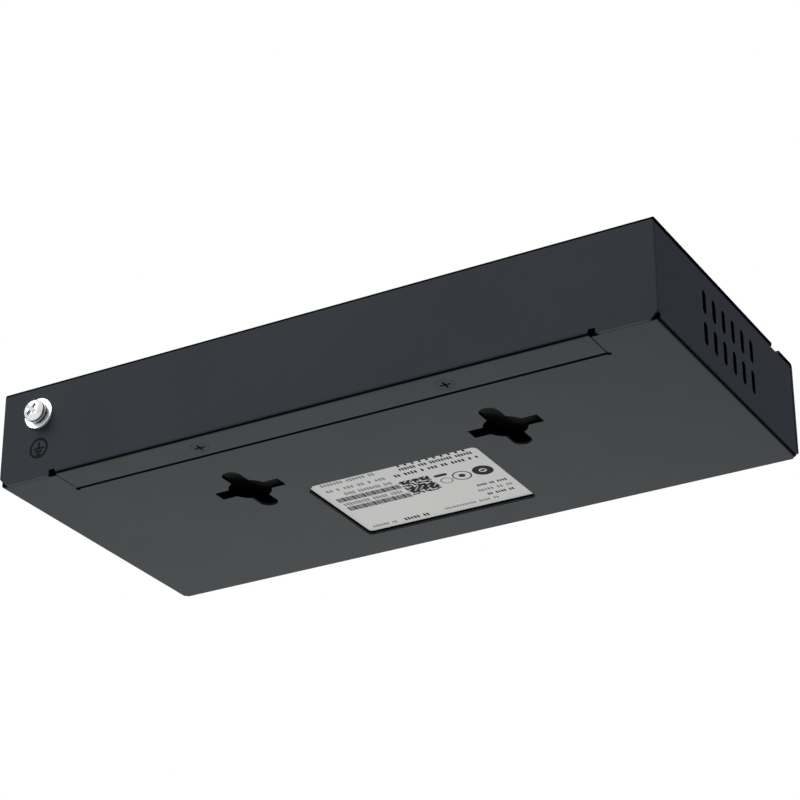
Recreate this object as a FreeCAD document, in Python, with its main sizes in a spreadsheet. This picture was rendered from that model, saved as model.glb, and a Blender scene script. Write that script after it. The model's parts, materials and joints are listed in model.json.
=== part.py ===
import FreeCAD, Part
import os
import re
import Sketcher
from FreeCAD import Vector

# Small metal-cased ethernet switch, lying on its underside.
# The origin is on the underside, midway between the two wall-hanging cut-outs.
# X runs along the case, +Y points to the rear wall, -Y to the ports, +Z is up.

os.makedirs("parts", exist_ok=True)
doc = FreeCAD.newDocument("EthernetSwitch")
sheet = doc.addObject("Spreadsheet::Sheet", "Sizes")

# Driving sizes in millimetres: alias, value, meaning
SIZES = [
    ("case_length", 200.0, "outside length of the case along X"),
    ("case_depth", 93.0, "outside depth of the case along Y"),
    ("case_height", 29.0, "outside height of the case"),
    ("sheet_gauge", 1.0, "thickness of the case's steel sheet"),
    ("bend_inside", 0.2, "inside radius of every bend"),
    ("joint_gap", 0.15, "gap where two sheet edges butt"),
    ("corner_gap", 0.3, "gap between the lip's seat and the end walls"),
    ("relief_extra", 0.4, "how far a bend relief runs past its bend"),
    ("hang_setback", 57.6, "front face to the line of the hanging cut-outs"),
    ("hang_spacing", 80.0, "distance between the hanging cut-outs"),
    ("hang_diameter", 12.2, "round middle of a hanging cut-out"),
    ("hang_slot_width", 5.6, "round-ended slot of a hanging cut-out"),
    ("hang_slot_length", 24.5, "that slot, end to end along Y"),
    ("cross_slot_width", 4.6, "square-ended slot of a hanging cut-out"),
    ("cross_slot_length", 20.6, "that slot, end to end along X"),
    ("strip_length", 162.4, "fixing strip folded under from the rear wall"),
    ("strip_depth", 10.7, "rear face to the strip's free edge"),
    ("strip_slit", 0.3, "gap at each end of the strip"),
    ("strip_notch", 2.0, "relief notch at each end of the strip's bend"),
    ("step_run", 0.9, "run of the step up to the ledge over the strip"),
    ("step_lean", 0.4, "offset of that step's inner face"),
    ("step_relief", 1.4, "diameter of the relief at the ledge's corners"),
    ("corner_cut", 2.4, "cut at the lower corners of the rear wall"),
    ("strip_screw_spacing", 75.2, "distance between the two cover screws"),
    ("strip_screw_setback", 6.3, "rear face to the cover screws"),
    ("csk_head_diameter", 5.6, "countersunk head of a cover screw"),
    ("csk_screw_diameter", 3.0, "shank of a cover screw"),
    ("csk_screw_length", 4.6, "cover screw over all"),
    ("screw_clearance", 0.2, "diametral clearance round a screw"),
    ("cross_span_share", 0.58, "driver recess across its wings, as a share of the head"),
    ("cross_wing_share", 0.11, "width of a wing, as a share of the head"),
    ("cross_depth_share", 0.18, "depth of the recess, as a share of the head"),
    ("thread_clearance", 0.06, "diametral clearance of a screw in its thread"),
    ("head_clearance", 0.1, "clearance round a countersunk head"),
    ("collar_diameter", 4.8, "extruded collar of a tapped hole"),
    ("collar_height", 1.0, "height of that collar"),
    ("lip_depth", 9.6, "front face to the end of the lip's level part"),
    ("lip_slope", 4.6, "run of the lip's slope"),
    ("lip_seat", 6.6, "level strip of the lip that the cover lies over"),
    ("lip_clearance", 0.3, "gap between that strip and the cover"),
    ("cover_setback", 14.8, "front face to the cover's front edge"),
    ("top_gap", 0.5, "gap between the end walls and the cover"),
    ("hook_inset", 14.0, "end of the case to the middle of a hook"),
    ("hook_width", 14.0, "width of a hook"),
    ("hook_weld", 7.0, "length of a hook's welded leg"),
    ("hook_reach", 5.0, "how far a hook reaches under the lip"),
    ("hook_clearance", 0.2, "gap between a hook and the lip"),
    ("vent_setback", 46.2, "front face to the middle of the vents"),
    ("vent_columns", 6, "vent columns in each end wall"),
    ("vent_pitch", 6.25, "distance between vent columns"),
    ("vent_width", 2.3, "width of a vent"),
    ("vent_length", 6.9, "height of a vent"),
    ("vent_row_pitch", 9.2, "distance between the two rows, which share the wall's middle"),
    ("recess_setback", 32.0, "front face to the middle of the label recess"),
    ("recess_length", 54.0, "label recess along X"),
    ("recess_width", 37.2, "label recess along Y"),
    ("recess_depth", 1.25, "depth of the label recess"),
    ("recess_chamfer", 3.0, "cut corner of the label recess"),
    ("recess_radius", 1.5, "round corners of the label recess"),
    ("label_margin", 0.35, "gap round the label in its recess"),
    ("label_thickness", 0.15, "thickness of the label"),
    ("ground_offset", 12.3, "end of the case to the earth screw"),
    ("ground_drop", 9.2, "top of the case to the earth screw"),
    ("ground_shank", 4.0, "shank of the earth screw"),
    ("ground_length", 9.0, "length of the earth screw under its head"),
    ("ground_head_diameter", 6.6, "pan head of the earth screw"),
    ("ground_head_height", 2.3, "height of that head"),
    ("ground_head_dome", 1.3, "height of the head's rounded part"),
    ("ground_washer_diameter", 9.0, "flat washer"),
    ("ground_washer_gauge", 0.6, "thickness of the flat washer"),
    ("ground_spring_diameter", 6.2, "split spring washer"),
    ("ground_spring_gauge", 0.9, "thickness of the spring washer"),
    ("spring_split", 0.5, "gap and lean of its split"),
    ("ground_nut_flats", 7.0, "pressed nut across its flats"),
    ("ground_nut_height", 3.2, "height of the pressed nut"),
    ("board_end_gap", 5.0, "end of the case to the board's end"),
    ("board_rear_gap", 23.0, "rear face to the board's rear edge"),
    ("board_gauge", 1.6, "thickness of the circuit board"),
    ("board_setback", 2.0, "front face to the board's front edge"),
    ("board_height", 6.0, "underside to the board's lower face"),
    ("board_corner", 2.0, "cut corners of the board"),
    ("pillar_inset_x", 5.0, "board end to a pillar"),
    ("pillar_front", 35.0, "board's front edge to the front pillars"),
    ("pillar_back", 5.0, "board's rear edge to the rear pillars"),
    ("pillar_flats", 5.5, "hexagonal board pillar across its flats"),
    ("pillar_floor", 0.8, "floor under a pillar's thread"),
    ("pillar_thread", 3.0, "screw in a board pillar"),
    ("board_screw_length", 4.0, "board screw under its head"),
    ("board_screw_head", 5.6, "pan head of a board screw"),
    ("board_screw_rise", 2.0, "height of that head"),
    ("film_side", 8.7, "end of a hanging cut-out to the film's end"),
    ("film_front", 26.0, "end of a hanging cut-out to the film's front edge"),
    ("film_gauge", 0.25, "thickness of the film"),
    ("film_back", 1.0, "board's rear edge to the film"),
    ("port_pitch", 13.97, "distance between neighbouring ports"),
    ("bank_ports", 4, "ports in one bank"),
    ("room_share", 0.3, "share of the spare room in the row that lies at the power end"),
    ("power_to_lamp", 9.5, "power socket to the power lamp"),
    ("lamp_to_bank", 4.3, "lamp's holder to the first bank"),
    ("bank_gap", 2.2, "first bank to the second"),
    ("uplink_gap", 5.6, "second bank to the single port"),
    ("shell_margin", 15.9, "width of a single port's shell"),
    ("shell_height", 13.4, "height of a port shell over the board"),
    ("shell_depth", 21.5, "depth of a port shell"),
    ("shell_gauge", 0.25, "thickness of a port shell"),
    ("shell_proud", 0.4, "how far a port shell stands out of the front"),
    ("shell_clearance", 0.2, "gap round a port shell in the front panel"),
    ("mouth_width", 11.8, "width of a port's mouth"),
    ("mouth_height", 6.8, "height of a port's mouth"),
    ("mouth_floor", 3.7, "board to the bottom of the mouth"),
    ("latch_width", 6.2, "first step of the latch groove"),
    ("latch_drop", 1.4, "depth of that step"),
    ("catch_width", 3.6, "second step of the latch groove"),
    ("catch_drop", 1.1, "depth of that step"),
    ("mouth_depth", 15.2, "depth of a port"),
    ("window_rim", 0.2, "shell's window round the mouth"),
    ("contacts", 8, "contact springs in a port"),
    ("contact_pitch", 1.02, "distance between contact springs"),
    ("contact_width", 0.4, "width of a contact spring"),
    ("contact_gauge", 0.3, "thickness of a contact spring"),
    ("contact_nose", 3.6, "port face to the springs' front bend"),
    ("contact_reach", 12.2, "port face to the springs' free ends"),
    ("contact_dip", 3.3, "how far the free ends hang down"),
    ("contact_crook", 1.0, "length of the bend at a spring's nose"),
    ("contact_tail", 17.3, "port face to the springs' tails"),
    ("comb_clearance", 0.2, "clearance round the springs in the housing"),
    ("lamp_width", 2.8, "width of a port lamp"),
    ("lamp_height", 1.5, "height of a port lamp"),
    ("lamp_depth", 3.0, "depth of a port lamp"),
    ("lamp_spread", 8.4, "distance between a port's two lamps"),
    ("lamp_rise", 0.5, "mouth's ceiling to its lamps"),
    ("power_width", 9.0, "power socket along X"),
    ("power_depth", 14.2, "power socket along Y"),
    ("power_rise", 11.0, "power socket over the board"),
    ("power_axis", 6.5, "board to the power socket's axis"),
    ("power_collar", 8.0, "round collar in the front panel"),
    ("power_bore", 6.4, "bore of the power socket"),
    ("power_bore_depth", 10.5, "depth of that bore"),
    ("power_pin", 2.0, "centre pin"),
    ("power_pin_length", 9.2, "free length of the centre pin"),
    ("power_setback", 1.2, "front face to the socket's block"),
    ("status_diameter", 3.0, "power lamp"),
    ("status_axis", 6.5, "board to the power lamp's axis"),
    ("status_block", 4.6, "width of the lamp's holder"),
    ("status_setback", 4.5, "front face to the lamp's holder"),
    ("status_reach", 5.1, "length of the power lamp"),
    ("status_flange", 0.4, "flange round the lamp's foot"),
    ("status_flange_rise", 1.0, "height of that flange"),
    ("status_bevel", 0.6, "bevel round the lamp's nose"),
    ("chip_side", 16.0, "switch chip"),
    ("chip_rise", 1.4, "thickness of the chip's package"),
    ("pad_gauge", 0.5, "thermal pad on the chip"),
    ("pad_side", 14.0, "thermal pad"),
    ("sink_side", 20.0, "heat sink"),
    ("sink_base", 2.0, "base of the heat sink"),
    ("sink_rise", 9.0, "height of the heat sink"),
    ("sink_fins", 7, "fins of the heat sink"),
    ("sink_fin_gauge", 1.0, "thickness of a fin"),
    ("magnetics_gap", 2.0, "port shells to the transformers"),
    ("magnetics_depth", 10.0, "transformer module along Y"),
    ("magnetics_rise", 5.6, "height of a transformer module"),
    ("magnetics_bevel", 0.8, "bevel along a module's top"),
    ("magnetics_length", 24.0, "transformer module along X"),
    ("magnetics_pitch", 27.0, "distance between a bank's two modules"),
    ("uplink_module_length", 12.0, "transformer module of the single port"),
    ("capacitor_diameter", 8.0, "reservoir capacitors"),
    ("capacitor_rise", 12.0, "height of a reservoir capacitor"),
    ("capacitor_offset", 3.0, "power socket to the first reservoir capacitor"),
    ("capacitor_pitch", 10.5, "distance between the reservoir capacitors"),
    ("capacitor_count", 3, "reservoir capacitors"),
    ("coil_gap", 3.5, "last capacitor to the supply coil"),
    ("coil_side", 7.3, "side of the supply coil"),
    ("coil_bevel", 1.1, "bevel of its four corners"),
    ("coil_rise", 4.2, "height of the supply coil"),
    ("regulator_gap", 4.0, "supply coil to its regulator"),
    ("memory_gap", 5.0, "clock crystal to the memory chip"),
    ("small_chip_length", 5.0, "small chip along X"),
    ("small_chip_width", 4.0, "small chip along Y"),
    ("small_chip_rise", 1.6, "height of a small chip"),
    ("crystal_gap", 6.0, "heat sink to the clock crystal"),
    ("crystal_length", 11.0, "clock crystal's can, long way along Y"),
    ("crystal_width", 4.7, "clock crystal's can"),
    ("crystal_rise", 3.5, "height of the clock crystal"),
]
for row, (alias, number, meaning) in enumerate(SIZES, start=1):
    sheet.set(f"A{row}", alias)
    sheet.set(f"B{row}", str(number))
    sheet.set(f"C{row}", meaning)
    sheet.setAlias(f"B{row}", alias)
doc.recompute()
ALIASES = {alias for alias, number, meaning in SIZES}

# Places that several pieces share, as formulas on the sheet
FRONT = "(-hang_setback)"
REAR = "(case_depth - hang_setback)"
END = "(case_length / 2)"
CEILING = "(case_height - sheet_gauge)"
BEND = "(sheet_gauge + bend_inside)"
FLAT_END = f"({END} - {BEND} - relief_extra)"
BUTT = f"({REAR} - sheet_gauge - joint_gap)"
STRIP_EDGE = f"({REAR} - strip_depth)"
STEP = f"({STRIP_EDGE} - step_run)"
COVER_EDGE = f"({FRONT} + cover_setback)"
LIP_LOW = "(case_height - sheet_gauge - lip_clearance)"
LIP_REST = f"({FRONT} + lip_depth + lip_slope)"
LIP_END = f"({LIP_REST} + lip_seat)"
SCREW_LINE = f"({REAR} - strip_screw_setback)"
RECESS_Y = f"({FRONT} + recess_setback)"
GROUND_X = f"({END} - ground_offset)"
BOARD_FRONT = f"({FRONT} + board_setback)"
BOARD_BACK = f"({REAR} - board_rear_gap)"
BOARD_END = f"({END} - board_end_gap)"
BOARD_TOP = "(board_height + board_gauge)"
PORT_FACE = f"({FRONT} - shell_proud)"
MOUTH_LOW = f"({BOARD_TOP} + mouth_floor)"
MOUTH_TOP = f"({MOUTH_LOW} + mouth_height)"
GROUND_Z = "(case_height - ground_drop)"
VENT_LOW = "(case_height / 2 - vent_row_pitch / 2)"

# The row of fittings in the front panel, from the power end on
BANK_WIDTH = "(port_pitch * (bank_ports - 1) + shell_margin)"
ROW_ENDS = "(power_width / 2 + power_to_lamp + status_block / 2 + lamp_to_bank + shell_margin)"
ROW_LENGTH = f"({ROW_ENDS} + 2 * {BANK_WIDTH} + bank_gap + uplink_gap)"
SPARE_ROOM = f"(case_length - 2 * sheet_gauge - {ROW_LENGTH})"
POWER_X = f"(sheet_gauge - {END} + {SPARE_ROOM} * room_share + power_width / 2)"
STATUS_X = f"({POWER_X} + power_to_lamp)"
BANK_ONE_X = f"({STATUS_X} + status_block / 2 + lamp_to_bank + {BANK_WIDTH} / 2)"
BANK_TWO_X = f"({BANK_ONE_X} + {BANK_WIDTH} + bank_gap)"
UPLINK_X = f"({BANK_TWO_X} + {BANK_WIDTH} / 2 + uplink_gap + shell_margin / 2)"

# The row of parts on the board, midway between the transformers and its rear edge
MODULE_Y = f"({PORT_FACE} + shell_depth + magnetics_gap + magnetics_depth / 2)"
PARTS_Y = f"(({MODULE_Y} + magnetics_depth / 2 + {BOARD_BACK}) / 2)"
CAPACITOR_X = f"({POWER_X} + capacitor_offset)"
CAPACITOR_END = f"({CAPACITOR_X} + capacitor_pitch * (capacitor_count - 1) + capacitor_diameter / 2)"
COIL_X = f"({CAPACITOR_END} + coil_gap + coil_side / 2)"
REGULATOR_X = f"({COIL_X} + coil_side / 2 + regulator_gap + small_chip_length / 2)"
CHIP_X = f"(({BANK_ONE_X} + {BANK_TWO_X}) / 2)"
CRYSTAL_X = f"({CHIP_X} + sink_side / 2 + crystal_gap + crystal_width / 2)"
MEMORY_X = f"({CRYSTAL_X} + crystal_width / 2 + memory_gap + small_chip_length / 2)"


def formula(text):
    """The same formula with each size read from the sheet."""
    return re.sub(r"[a-z][a-z_]*", lambda word: f"Sizes.{word[0]}" if word[0] in ALIASES else word[0], text)


def value(text):
    """The number that a formula gives."""
    return float(sheet.evalExpression(text))


def tie(item, setting, text):
    """Bind one setting of an object to the sheet."""
    item.setExpression(setting, formula(text))


def place(item, x="0", y="0", z="0"):
    """Bind the place of an object to the sheet."""
    tie(item, "Placement.Base.x", x)
    tie(item, "Placement.Base.y", y)
    tie(item, "Placement.Base.z", z)


def new_body(label):
    body = doc.addObject("PartDesign::Body", label)
    body.Label = label
    return body


def origin_part(body, role):
    """An origin plane or axis of the body, by its role."""
    for feature in body.Origin.OriginFeatures:
        if feature.Role == role:
            return feature
    raise RuntimeError(f"{body.Label} has no {role}")


def new_sketch(body, role, lift="0"):
    """An empty sketch on an origin plane, lifted along the plane's normal."""
    sketch = body.newObject("Sketcher::SketchObject", "Sketch")
    sketch.AttachmentSupport = [(origin_part(body, role), "")]
    sketch.MapMode = "FlatFace"
    tie(sketch, "AttachmentOffset.Base.z", lift)
    return sketch


def hold(sketch, kind, geometry, point, text):
    """Hold a point at a signed distance from the sketch's origin."""
    number = sketch.addConstraint(Sketcher.Constraint(kind, -1, 1, geometry, point, value(text)))
    tie(sketch, f"Constraints[{number}]", text)


def polygon(sketch, corners):
    """A closed outline through corners given as pairs of formulas."""
    points = [Vector(value(across), value(up), 0) for across, up in corners]
    count = len(points)
    edges = []
    for here in range(count):
        edge = Part.LineSegment(points[here], points[(here + 1) % count])
        edges.append(sketch.addGeometry(edge, False))
    for here in range(count):
        join = Sketcher.Constraint("Coincident", edges[here], 2, edges[(here + 1) % count], 1)
        sketch.addConstraint(join)
    for edge, (across, up) in zip(edges, corners):
        hold(sketch, "DistanceX", edge, 1, across)
        hold(sketch, "DistanceY", edge, 1, up)


def rectangle(sketch, left, right, low, high):
    polygon(sketch, [(left, low), (right, low), (right, high), (left, high)])


def circle(sketch, across, up, radius):
    ring = Part.Circle(Vector(value(across), value(up), 0), Vector(0, 0, 1), value(radius))
    ring_id = sketch.addGeometry(ring, False)
    hold(sketch, "DistanceX", ring_id, 3, across)
    hold(sketch, "DistanceY", ring_id, 3, up)
    number = sketch.addConstraint(Sketcher.Constraint("Radius", ring_id, value(radius)))
    tie(sketch, f"Constraints[{number}]", radius)


def upright_slot(sketch, across, up, length, width):
    """A round-ended slot that runs along the sketch's vertical."""
    half = f"(({length}) / 2 - ({width}) / 2)"
    middle = value(across)
    radius = value(width) / 2
    top = value(f"{up} + {half}")
    low = value(f"{up} - {half}")
    quarter = 1.5707963267948966
    upper = Part.Circle(Vector(middle, top, 0), Vector(0, 0, 1), radius)
    lower = Part.Circle(Vector(middle, low, 0), Vector(0, 0, 1), radius)
    cap = sketch.addGeometry(Part.ArcOfCircle(upper, 0, 2 * quarter), False)
    foot = sketch.addGeometry(Part.ArcOfCircle(lower, 2 * quarter, 4 * quarter), False)
    left = Part.LineSegment(Vector(middle - radius, top, 0), Vector(middle - radius, low, 0))
    right = Part.LineSegment(Vector(middle + radius, low, 0), Vector(middle + radius, top, 0))
    left_id = sketch.addGeometry(left, False)
    right_id = sketch.addGeometry(right, False)
    sketch.addConstraint([
        Sketcher.Constraint("Tangent", cap, 2, left_id, 1),
        Sketcher.Constraint("Tangent", left_id, 2, foot, 1),
        Sketcher.Constraint("Tangent", foot, 2, right_id, 1),
        Sketcher.Constraint("Tangent", right_id, 2, cap, 1),
        Sketcher.Constraint("Equal", cap, foot),
    ])
    hold(sketch, "DistanceX", cap, 3, across)
    hold(sketch, "DistanceY", cap, 3, f"{up} + {half}")
    hold(sketch, "DistanceX", foot, 3, across)
    hold(sketch, "DistanceY", foot, 3, f"{up} - {half}")
    number = sketch.addConstraint(Sketcher.Constraint("Radius", cap, radius))
    tie(sketch, f"Constraints[{number}]", f"({width}) / 2")


def hexagon(sketch, flats):
    """A hexagon round the sketch's origin, from its width across flats."""
    flat = f"({flats} / 2)"
    point = f"({flat} / cos(30))"
    half = f"({point} / 2)"
    polygon(sketch, [
        (point, "0"), (half, flat), (f"-{half}", flat),
        (f"-{point}", "0"), (f"-{half}", f"-{flat}"), (half, f"-{flat}"),
    ])


def pad(body, sketch, length, both_ways=False, backwards=False):
    feature = body.newObject("PartDesign::Pad", "Pad")
    feature.Profile = sketch
    feature.Midplane = both_ways
    feature.Reversed = backwards
    tie(feature, "Length", length)
    doc.recompute()
    return feature


def pocket(body, sketch, length, both_ways=False, backwards=False):
    """A cut against the sketch's normal, or along it when backwards."""
    before = body.Shape.Volume
    feature = body.newObject("PartDesign::Pocket", "Pocket")
    feature.Profile = sketch
    feature.Midplane = both_ways
    feature.Reversed = backwards
    tie(feature, "Length", length)
    doc.recompute()
    if body.Shape.Volume >= before:
        raise RuntimeError(f"a pocket of {body.Label} cuts nothing")
    return feature


def repeat(body, features, axis, count, pitch):
    """The features again and again along an origin axis."""
    pattern = body.newObject("PartDesign::LinearPattern", "Pattern")
    pattern.Originals = features
    pattern.Direction = (origin_part(body, axis), [""])
    tie(pattern, "Occurrences", count)
    tie(pattern, "Length", f"({pitch}) * ({count} - 1)")
    body.Tip = pattern
    doc.recompute()
    return pattern


def revolve(body, corners):
    """A turned piece about Z, from corners given as radius and height."""
    sketch = new_sketch(body, "XZ_Plane")
    polygon(sketch, corners)
    feature = body.newObject("PartDesign::Revolution", "Revolution")
    feature.Profile = sketch
    feature.ReferenceAxis = (origin_part(body, "Z_Axis"), [""])
    feature.Angle = 360
    doc.recompute()
    return feature


def edges_where(shape, test):
    """The names of the straight edges whose two ends pass a test."""
    names = []
    for number, edge in enumerate(shape.Edges, start=1):
        if len(edge.Vertexes) == 2 and all(test(corner.Point) for corner in edge.Vertexes):
            names.append(f"Edge{number}")
    return names


def near(one, other):
    return abs(one - other) < 0.001


def round_edges(body, test, radius, kind="PartDesign::Fillet", setting="Radius"):
    """Round the edges of the body's last feature whose ends pass a test."""
    base = body.Tip
    names = edges_where(base.Shape, test)
    if not names:
        raise RuntimeError(f"{body.Label} has no edge to round")
    feature = body.newObject(kind, "Rounding")
    feature.Base = (base, names)
    tie(feature, setting, radius)
    doc.recompute()
    return feature


def long_edge(up, across, reach):
    """A test for the edges along X at one Y and Z, as far as reach from the middle."""
    y = value(across)
    z = value(up)
    x = value(reach) + 0.001
    return lambda point: near(point.y, y) and near(point.z, z) and abs(point.x) < x


def short_edge(across, up):
    """A test for the edges along Y at one X and Z."""
    x = value(across)
    z = value(up)
    return lambda point: near(point.x, x) and near(point.z, z)


def upright_edge(x, y):
    """A test for the edges along Z at one X and Y."""
    across = value(x)
    along = value(y)
    return lambda point: near(point.x, across) and near(point.y, along)


def copies(label, source, places):
    """One node of separate equal solids, the source's own shape at each place."""
    feature = doc.addObject("Part::Feature", label)
    solids = []
    for x, y, z in places:
        solid = source.Shape.copy()
        solid.translate(Vector(x, y, z))
        solids.append(solid)
    feature.Shape = Part.makeCompound(solids)
    feature.Label = label
    return feature


def box(label, x, y, z, length, width, height):
    """A block from its low corner and its three sides."""
    item = doc.addObject("Part::Box", label)
    item.Label = label
    tie(item, "Length", length)
    tie(item, "Width", width)
    tie(item, "Height", height)
    place(item, x, y, z)
    return item


def sheet_bends(body, outer, inner, reach=END):
    """Round the outside and the inside of some bends along X."""
    for across, up in outer:
        round_edges(body, long_edge(up, across, reach), BEND)
    for across, up in inner:
        round_edges(body, long_edge(up, across, reach), "bend_inside")


def cross_recess(body, head, top, from_below=False):
    """A cross-shaped driver recess, sized after the diameter of the head it is cut in."""
    half = f"({head} * cross_span_share / 2)"
    arm = f"({head} * cross_wing_share / 2)"
    sketch = new_sketch(body, "XY_Plane", top)
    polygon(sketch, [
        (arm, arm), (half, arm), (half, f"-{arm}"), (arm, f"-{arm}"),
        (arm, f"-{half}"), (f"-{arm}", f"-{half}"), (f"-{arm}", f"-{arm}"), (f"-{half}", f"-{arm}"),
        (f"-{half}", arm), (f"-{arm}", arm), (f"-{arm}", half), (arm, half),
    ])
    pocket(body, sketch, f"{head} * cross_depth_share", backwards=from_below)


# The tray: underside, front panel, lip and end walls, folded from one sheet
def make_tray():
    body = new_body("chassis_tray")
    section = new_sketch(body, "YZ_Plane")
    polygon(section, [
        (BUTT, "0"),
        (FRONT, "0"),
        (FRONT, "case_height"),
        (f"{FRONT} + lip_depth", "case_height"),
        (LIP_REST, LIP_LOW),
        (LIP_END, LIP_LOW),
        (LIP_END, f"{LIP_LOW} - sheet_gauge"),
        (LIP_REST, f"{LIP_LOW} - sheet_gauge"),
        (f"{FRONT} + lip_depth", CEILING),
        (f"{FRONT} + sheet_gauge", CEILING),
        (f"{FRONT} + sheet_gauge", "sheet_gauge"),
        (BUTT, "sheet_gauge"),
    ])
    pad(body, section, "case_length", both_ways=True)
    sheet_bends(
        body,
        [(FRONT, "0"), (FRONT, "case_height")],
        [(f"{FRONT} + sheet_gauge", "sheet_gauge"), (f"{FRONT} + sheet_gauge", CEILING)],
    )
    cut_tray_ends(body)
    add_end_walls(body)
    add_ledge(body)
    cut_hangers(body)
    press_recess(body)
    cut_front(body)
    cut_vents(body)
    return body


def cut_tray_ends(body):
    """Free the end walls' bends, and narrow the lip's seat to lie between them."""
    low = new_sketch(body, "XY_Plane")
    rectangle(low, FLAT_END, f"{END} + 1", f"{FRONT} - 1", f"{BUTT} + 1")
    rectangle(low, f"-{END} - 1", f"-{FLAT_END}", f"{FRONT} - 1", f"{BUTT} + 1")
    pocket(body, low, f"{BEND} + relief_extra", backwards=True)
    high = new_sketch(body, "XY_Plane", "case_height + 1")
    inside = f"({END} - sheet_gauge - corner_gap)"
    start = f"({FRONT} + lip_depth)"
    rectangle(high, inside, f"{END} + 1", start, f"{LIP_END} + 1")
    rectangle(high, f"-{END} - 1", f"-{inside}", start, f"{LIP_END} + 1")
    pocket(body, high, "2 * sheet_gauge + lip_clearance + 2")


def add_end_walls(body):
    walls = new_sketch(body, "XZ_Plane", f"-{BUTT}")
    top = f"({CEILING} - top_gap)"
    for side in ("", "-"):
        polygon(walls, [
            (f"{side}{FLAT_END}", "0"),
            (f"{side}{END}", "0"),
            (f"{side}{END}", top),
            (f"{side}({END} - sheet_gauge)", top),
            (f"{side}({END} - sheet_gauge)", "sheet_gauge"),
            (f"{side}{FLAT_END}", "sheet_gauge"),
        ])
    pad(body, walls, f"{BUTT} - {FRONT} - {BEND} - relief_extra")
    for side in ("", "-"):
        round_edges(body, short_edge(f"{side}{END}", "0"), BEND)
        inside = f"{side}({END} - sheet_gauge)"
        round_edges(body, short_edge(inside, "sheet_gauge"), "bend_inside")


def add_ledge(body):
    """Step the rear of the underside up by one sheet, over the cover's strip."""
    half = "(strip_length / 2)"
    opening = new_sketch(body, "XY_Plane")
    rectangle(opening, f"-{half} - strip_slit", f"{half} + strip_slit", STEP, f"{BUTT} + 1")
    pocket(body, opening, "sheet_gauge + 1", backwards=True)
    ledge = new_sketch(body, "YZ_Plane")
    end = f"({REAR} - {BEND} - joint_gap)"
    polygon(ledge, [
        (STEP, "0"),
        (f"{STEP} + step_run", "sheet_gauge"),
        (end, "sheet_gauge"),
        (end, "2 * sheet_gauge"),
        (f"{STEP} + step_run - step_lean", "2 * sheet_gauge"),
        (f"{STEP} - step_lean", "sheet_gauge"),
        (f"{STEP} - step_lean", "0"),
    ])
    pad(body, ledge, "strip_length", both_ways=True)
    reliefs = new_sketch(body, "XY_Plane")
    circle(reliefs, f"{half} + strip_slit", STEP, "step_relief / 2")
    circle(reliefs, f"-{half} - strip_slit", STEP, "step_relief / 2")
    pocket(body, reliefs, "3 * sheet_gauge", backwards=True)
    collars = new_sketch(body, "XY_Plane", "2 * sheet_gauge")
    holes = new_sketch(body, "XY_Plane")
    for side in ("", "-"):
        circle(collars, f"{side}(strip_screw_spacing / 2)", SCREW_LINE, "collar_diameter / 2")
        radius = "(csk_screw_diameter + thread_clearance) / 2"
        circle(holes, f"{side}(strip_screw_spacing / 2)", SCREW_LINE, radius)
    pad(body, collars, "collar_height")
    pocket(body, holes, "2 * sheet_gauge + collar_height + 1", backwards=True)


def cut_hangers(body):
    """Cut the two cross-shaped holes that hang the case on wall screws."""
    for side in ("", "-"):
        middle = f"{side}(hang_spacing / 2)"
        round_hole = new_sketch(body, "XY_Plane")
        circle(round_hole, middle, "0", "hang_diameter / 2")
        pocket(body, round_hole, "sheet_gauge + 1", backwards=True)
        slot = new_sketch(body, "XY_Plane")
        upright_slot(slot, middle, "0", "hang_slot_length", "hang_slot_width")
        pocket(body, slot, "sheet_gauge + 1", backwards=True)
        cross = new_sketch(body, "XY_Plane")
        rectangle(
            cross,
            f"{middle} - cross_slot_length / 2", f"{middle} + cross_slot_length / 2",
            "-cross_slot_width / 2", "cross_slot_width / 2",
        )
        pocket(body, cross, "sheet_gauge + 1", backwards=True)


def recess_outline(sketch, grow):
    """The label recess: a rectangle with one corner cut off."""
    right = f"(recess_length / 2 + {grow})"
    high = f"(recess_width / 2 + {grow})"
    cut = f"(recess_chamfer + {grow} * 0.6)"
    polygon(sketch, [
        (f"-{right}", f"{RECESS_Y} - {high}"),
        (right, f"{RECESS_Y} - {high}"),
        (right, f"{RECESS_Y} + {high} - {cut}"),
        (f"{right} - {cut}", f"{RECESS_Y} + {high}"),
        (f"-{right}", f"{RECESS_Y} + {high}"),
    ])


def round_recess(body, grow, radius):
    """Round the three plain corners of the label recess."""
    right = f"(recess_length / 2 + {grow})"
    high = f"(recess_width / 2 + {grow})"
    corners = [(f"-{right}", f"-{high}"), (right, f"-{high}"), (f"-{right}", high)]
    for across, along in corners:
        round_edges(body, upright_edge(across, f"{RECESS_Y} + {along}"), radius)


def press_recess(body):
    """Press the label recess into the underside, at the sheet's own thickness."""
    raised = new_sketch(body, "XY_Plane", "sheet_gauge")
    recess_outline(raised, "sheet_gauge")
    pad(body, raised, "recess_depth")
    round_recess(body, "sheet_gauge", "recess_radius + sheet_gauge")
    sunk = new_sketch(body, "XY_Plane")
    recess_outline(sunk, "0")
    pocket(body, sunk, "recess_depth", backwards=True)
    round_recess(body, "0", "recess_radius")


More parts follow.
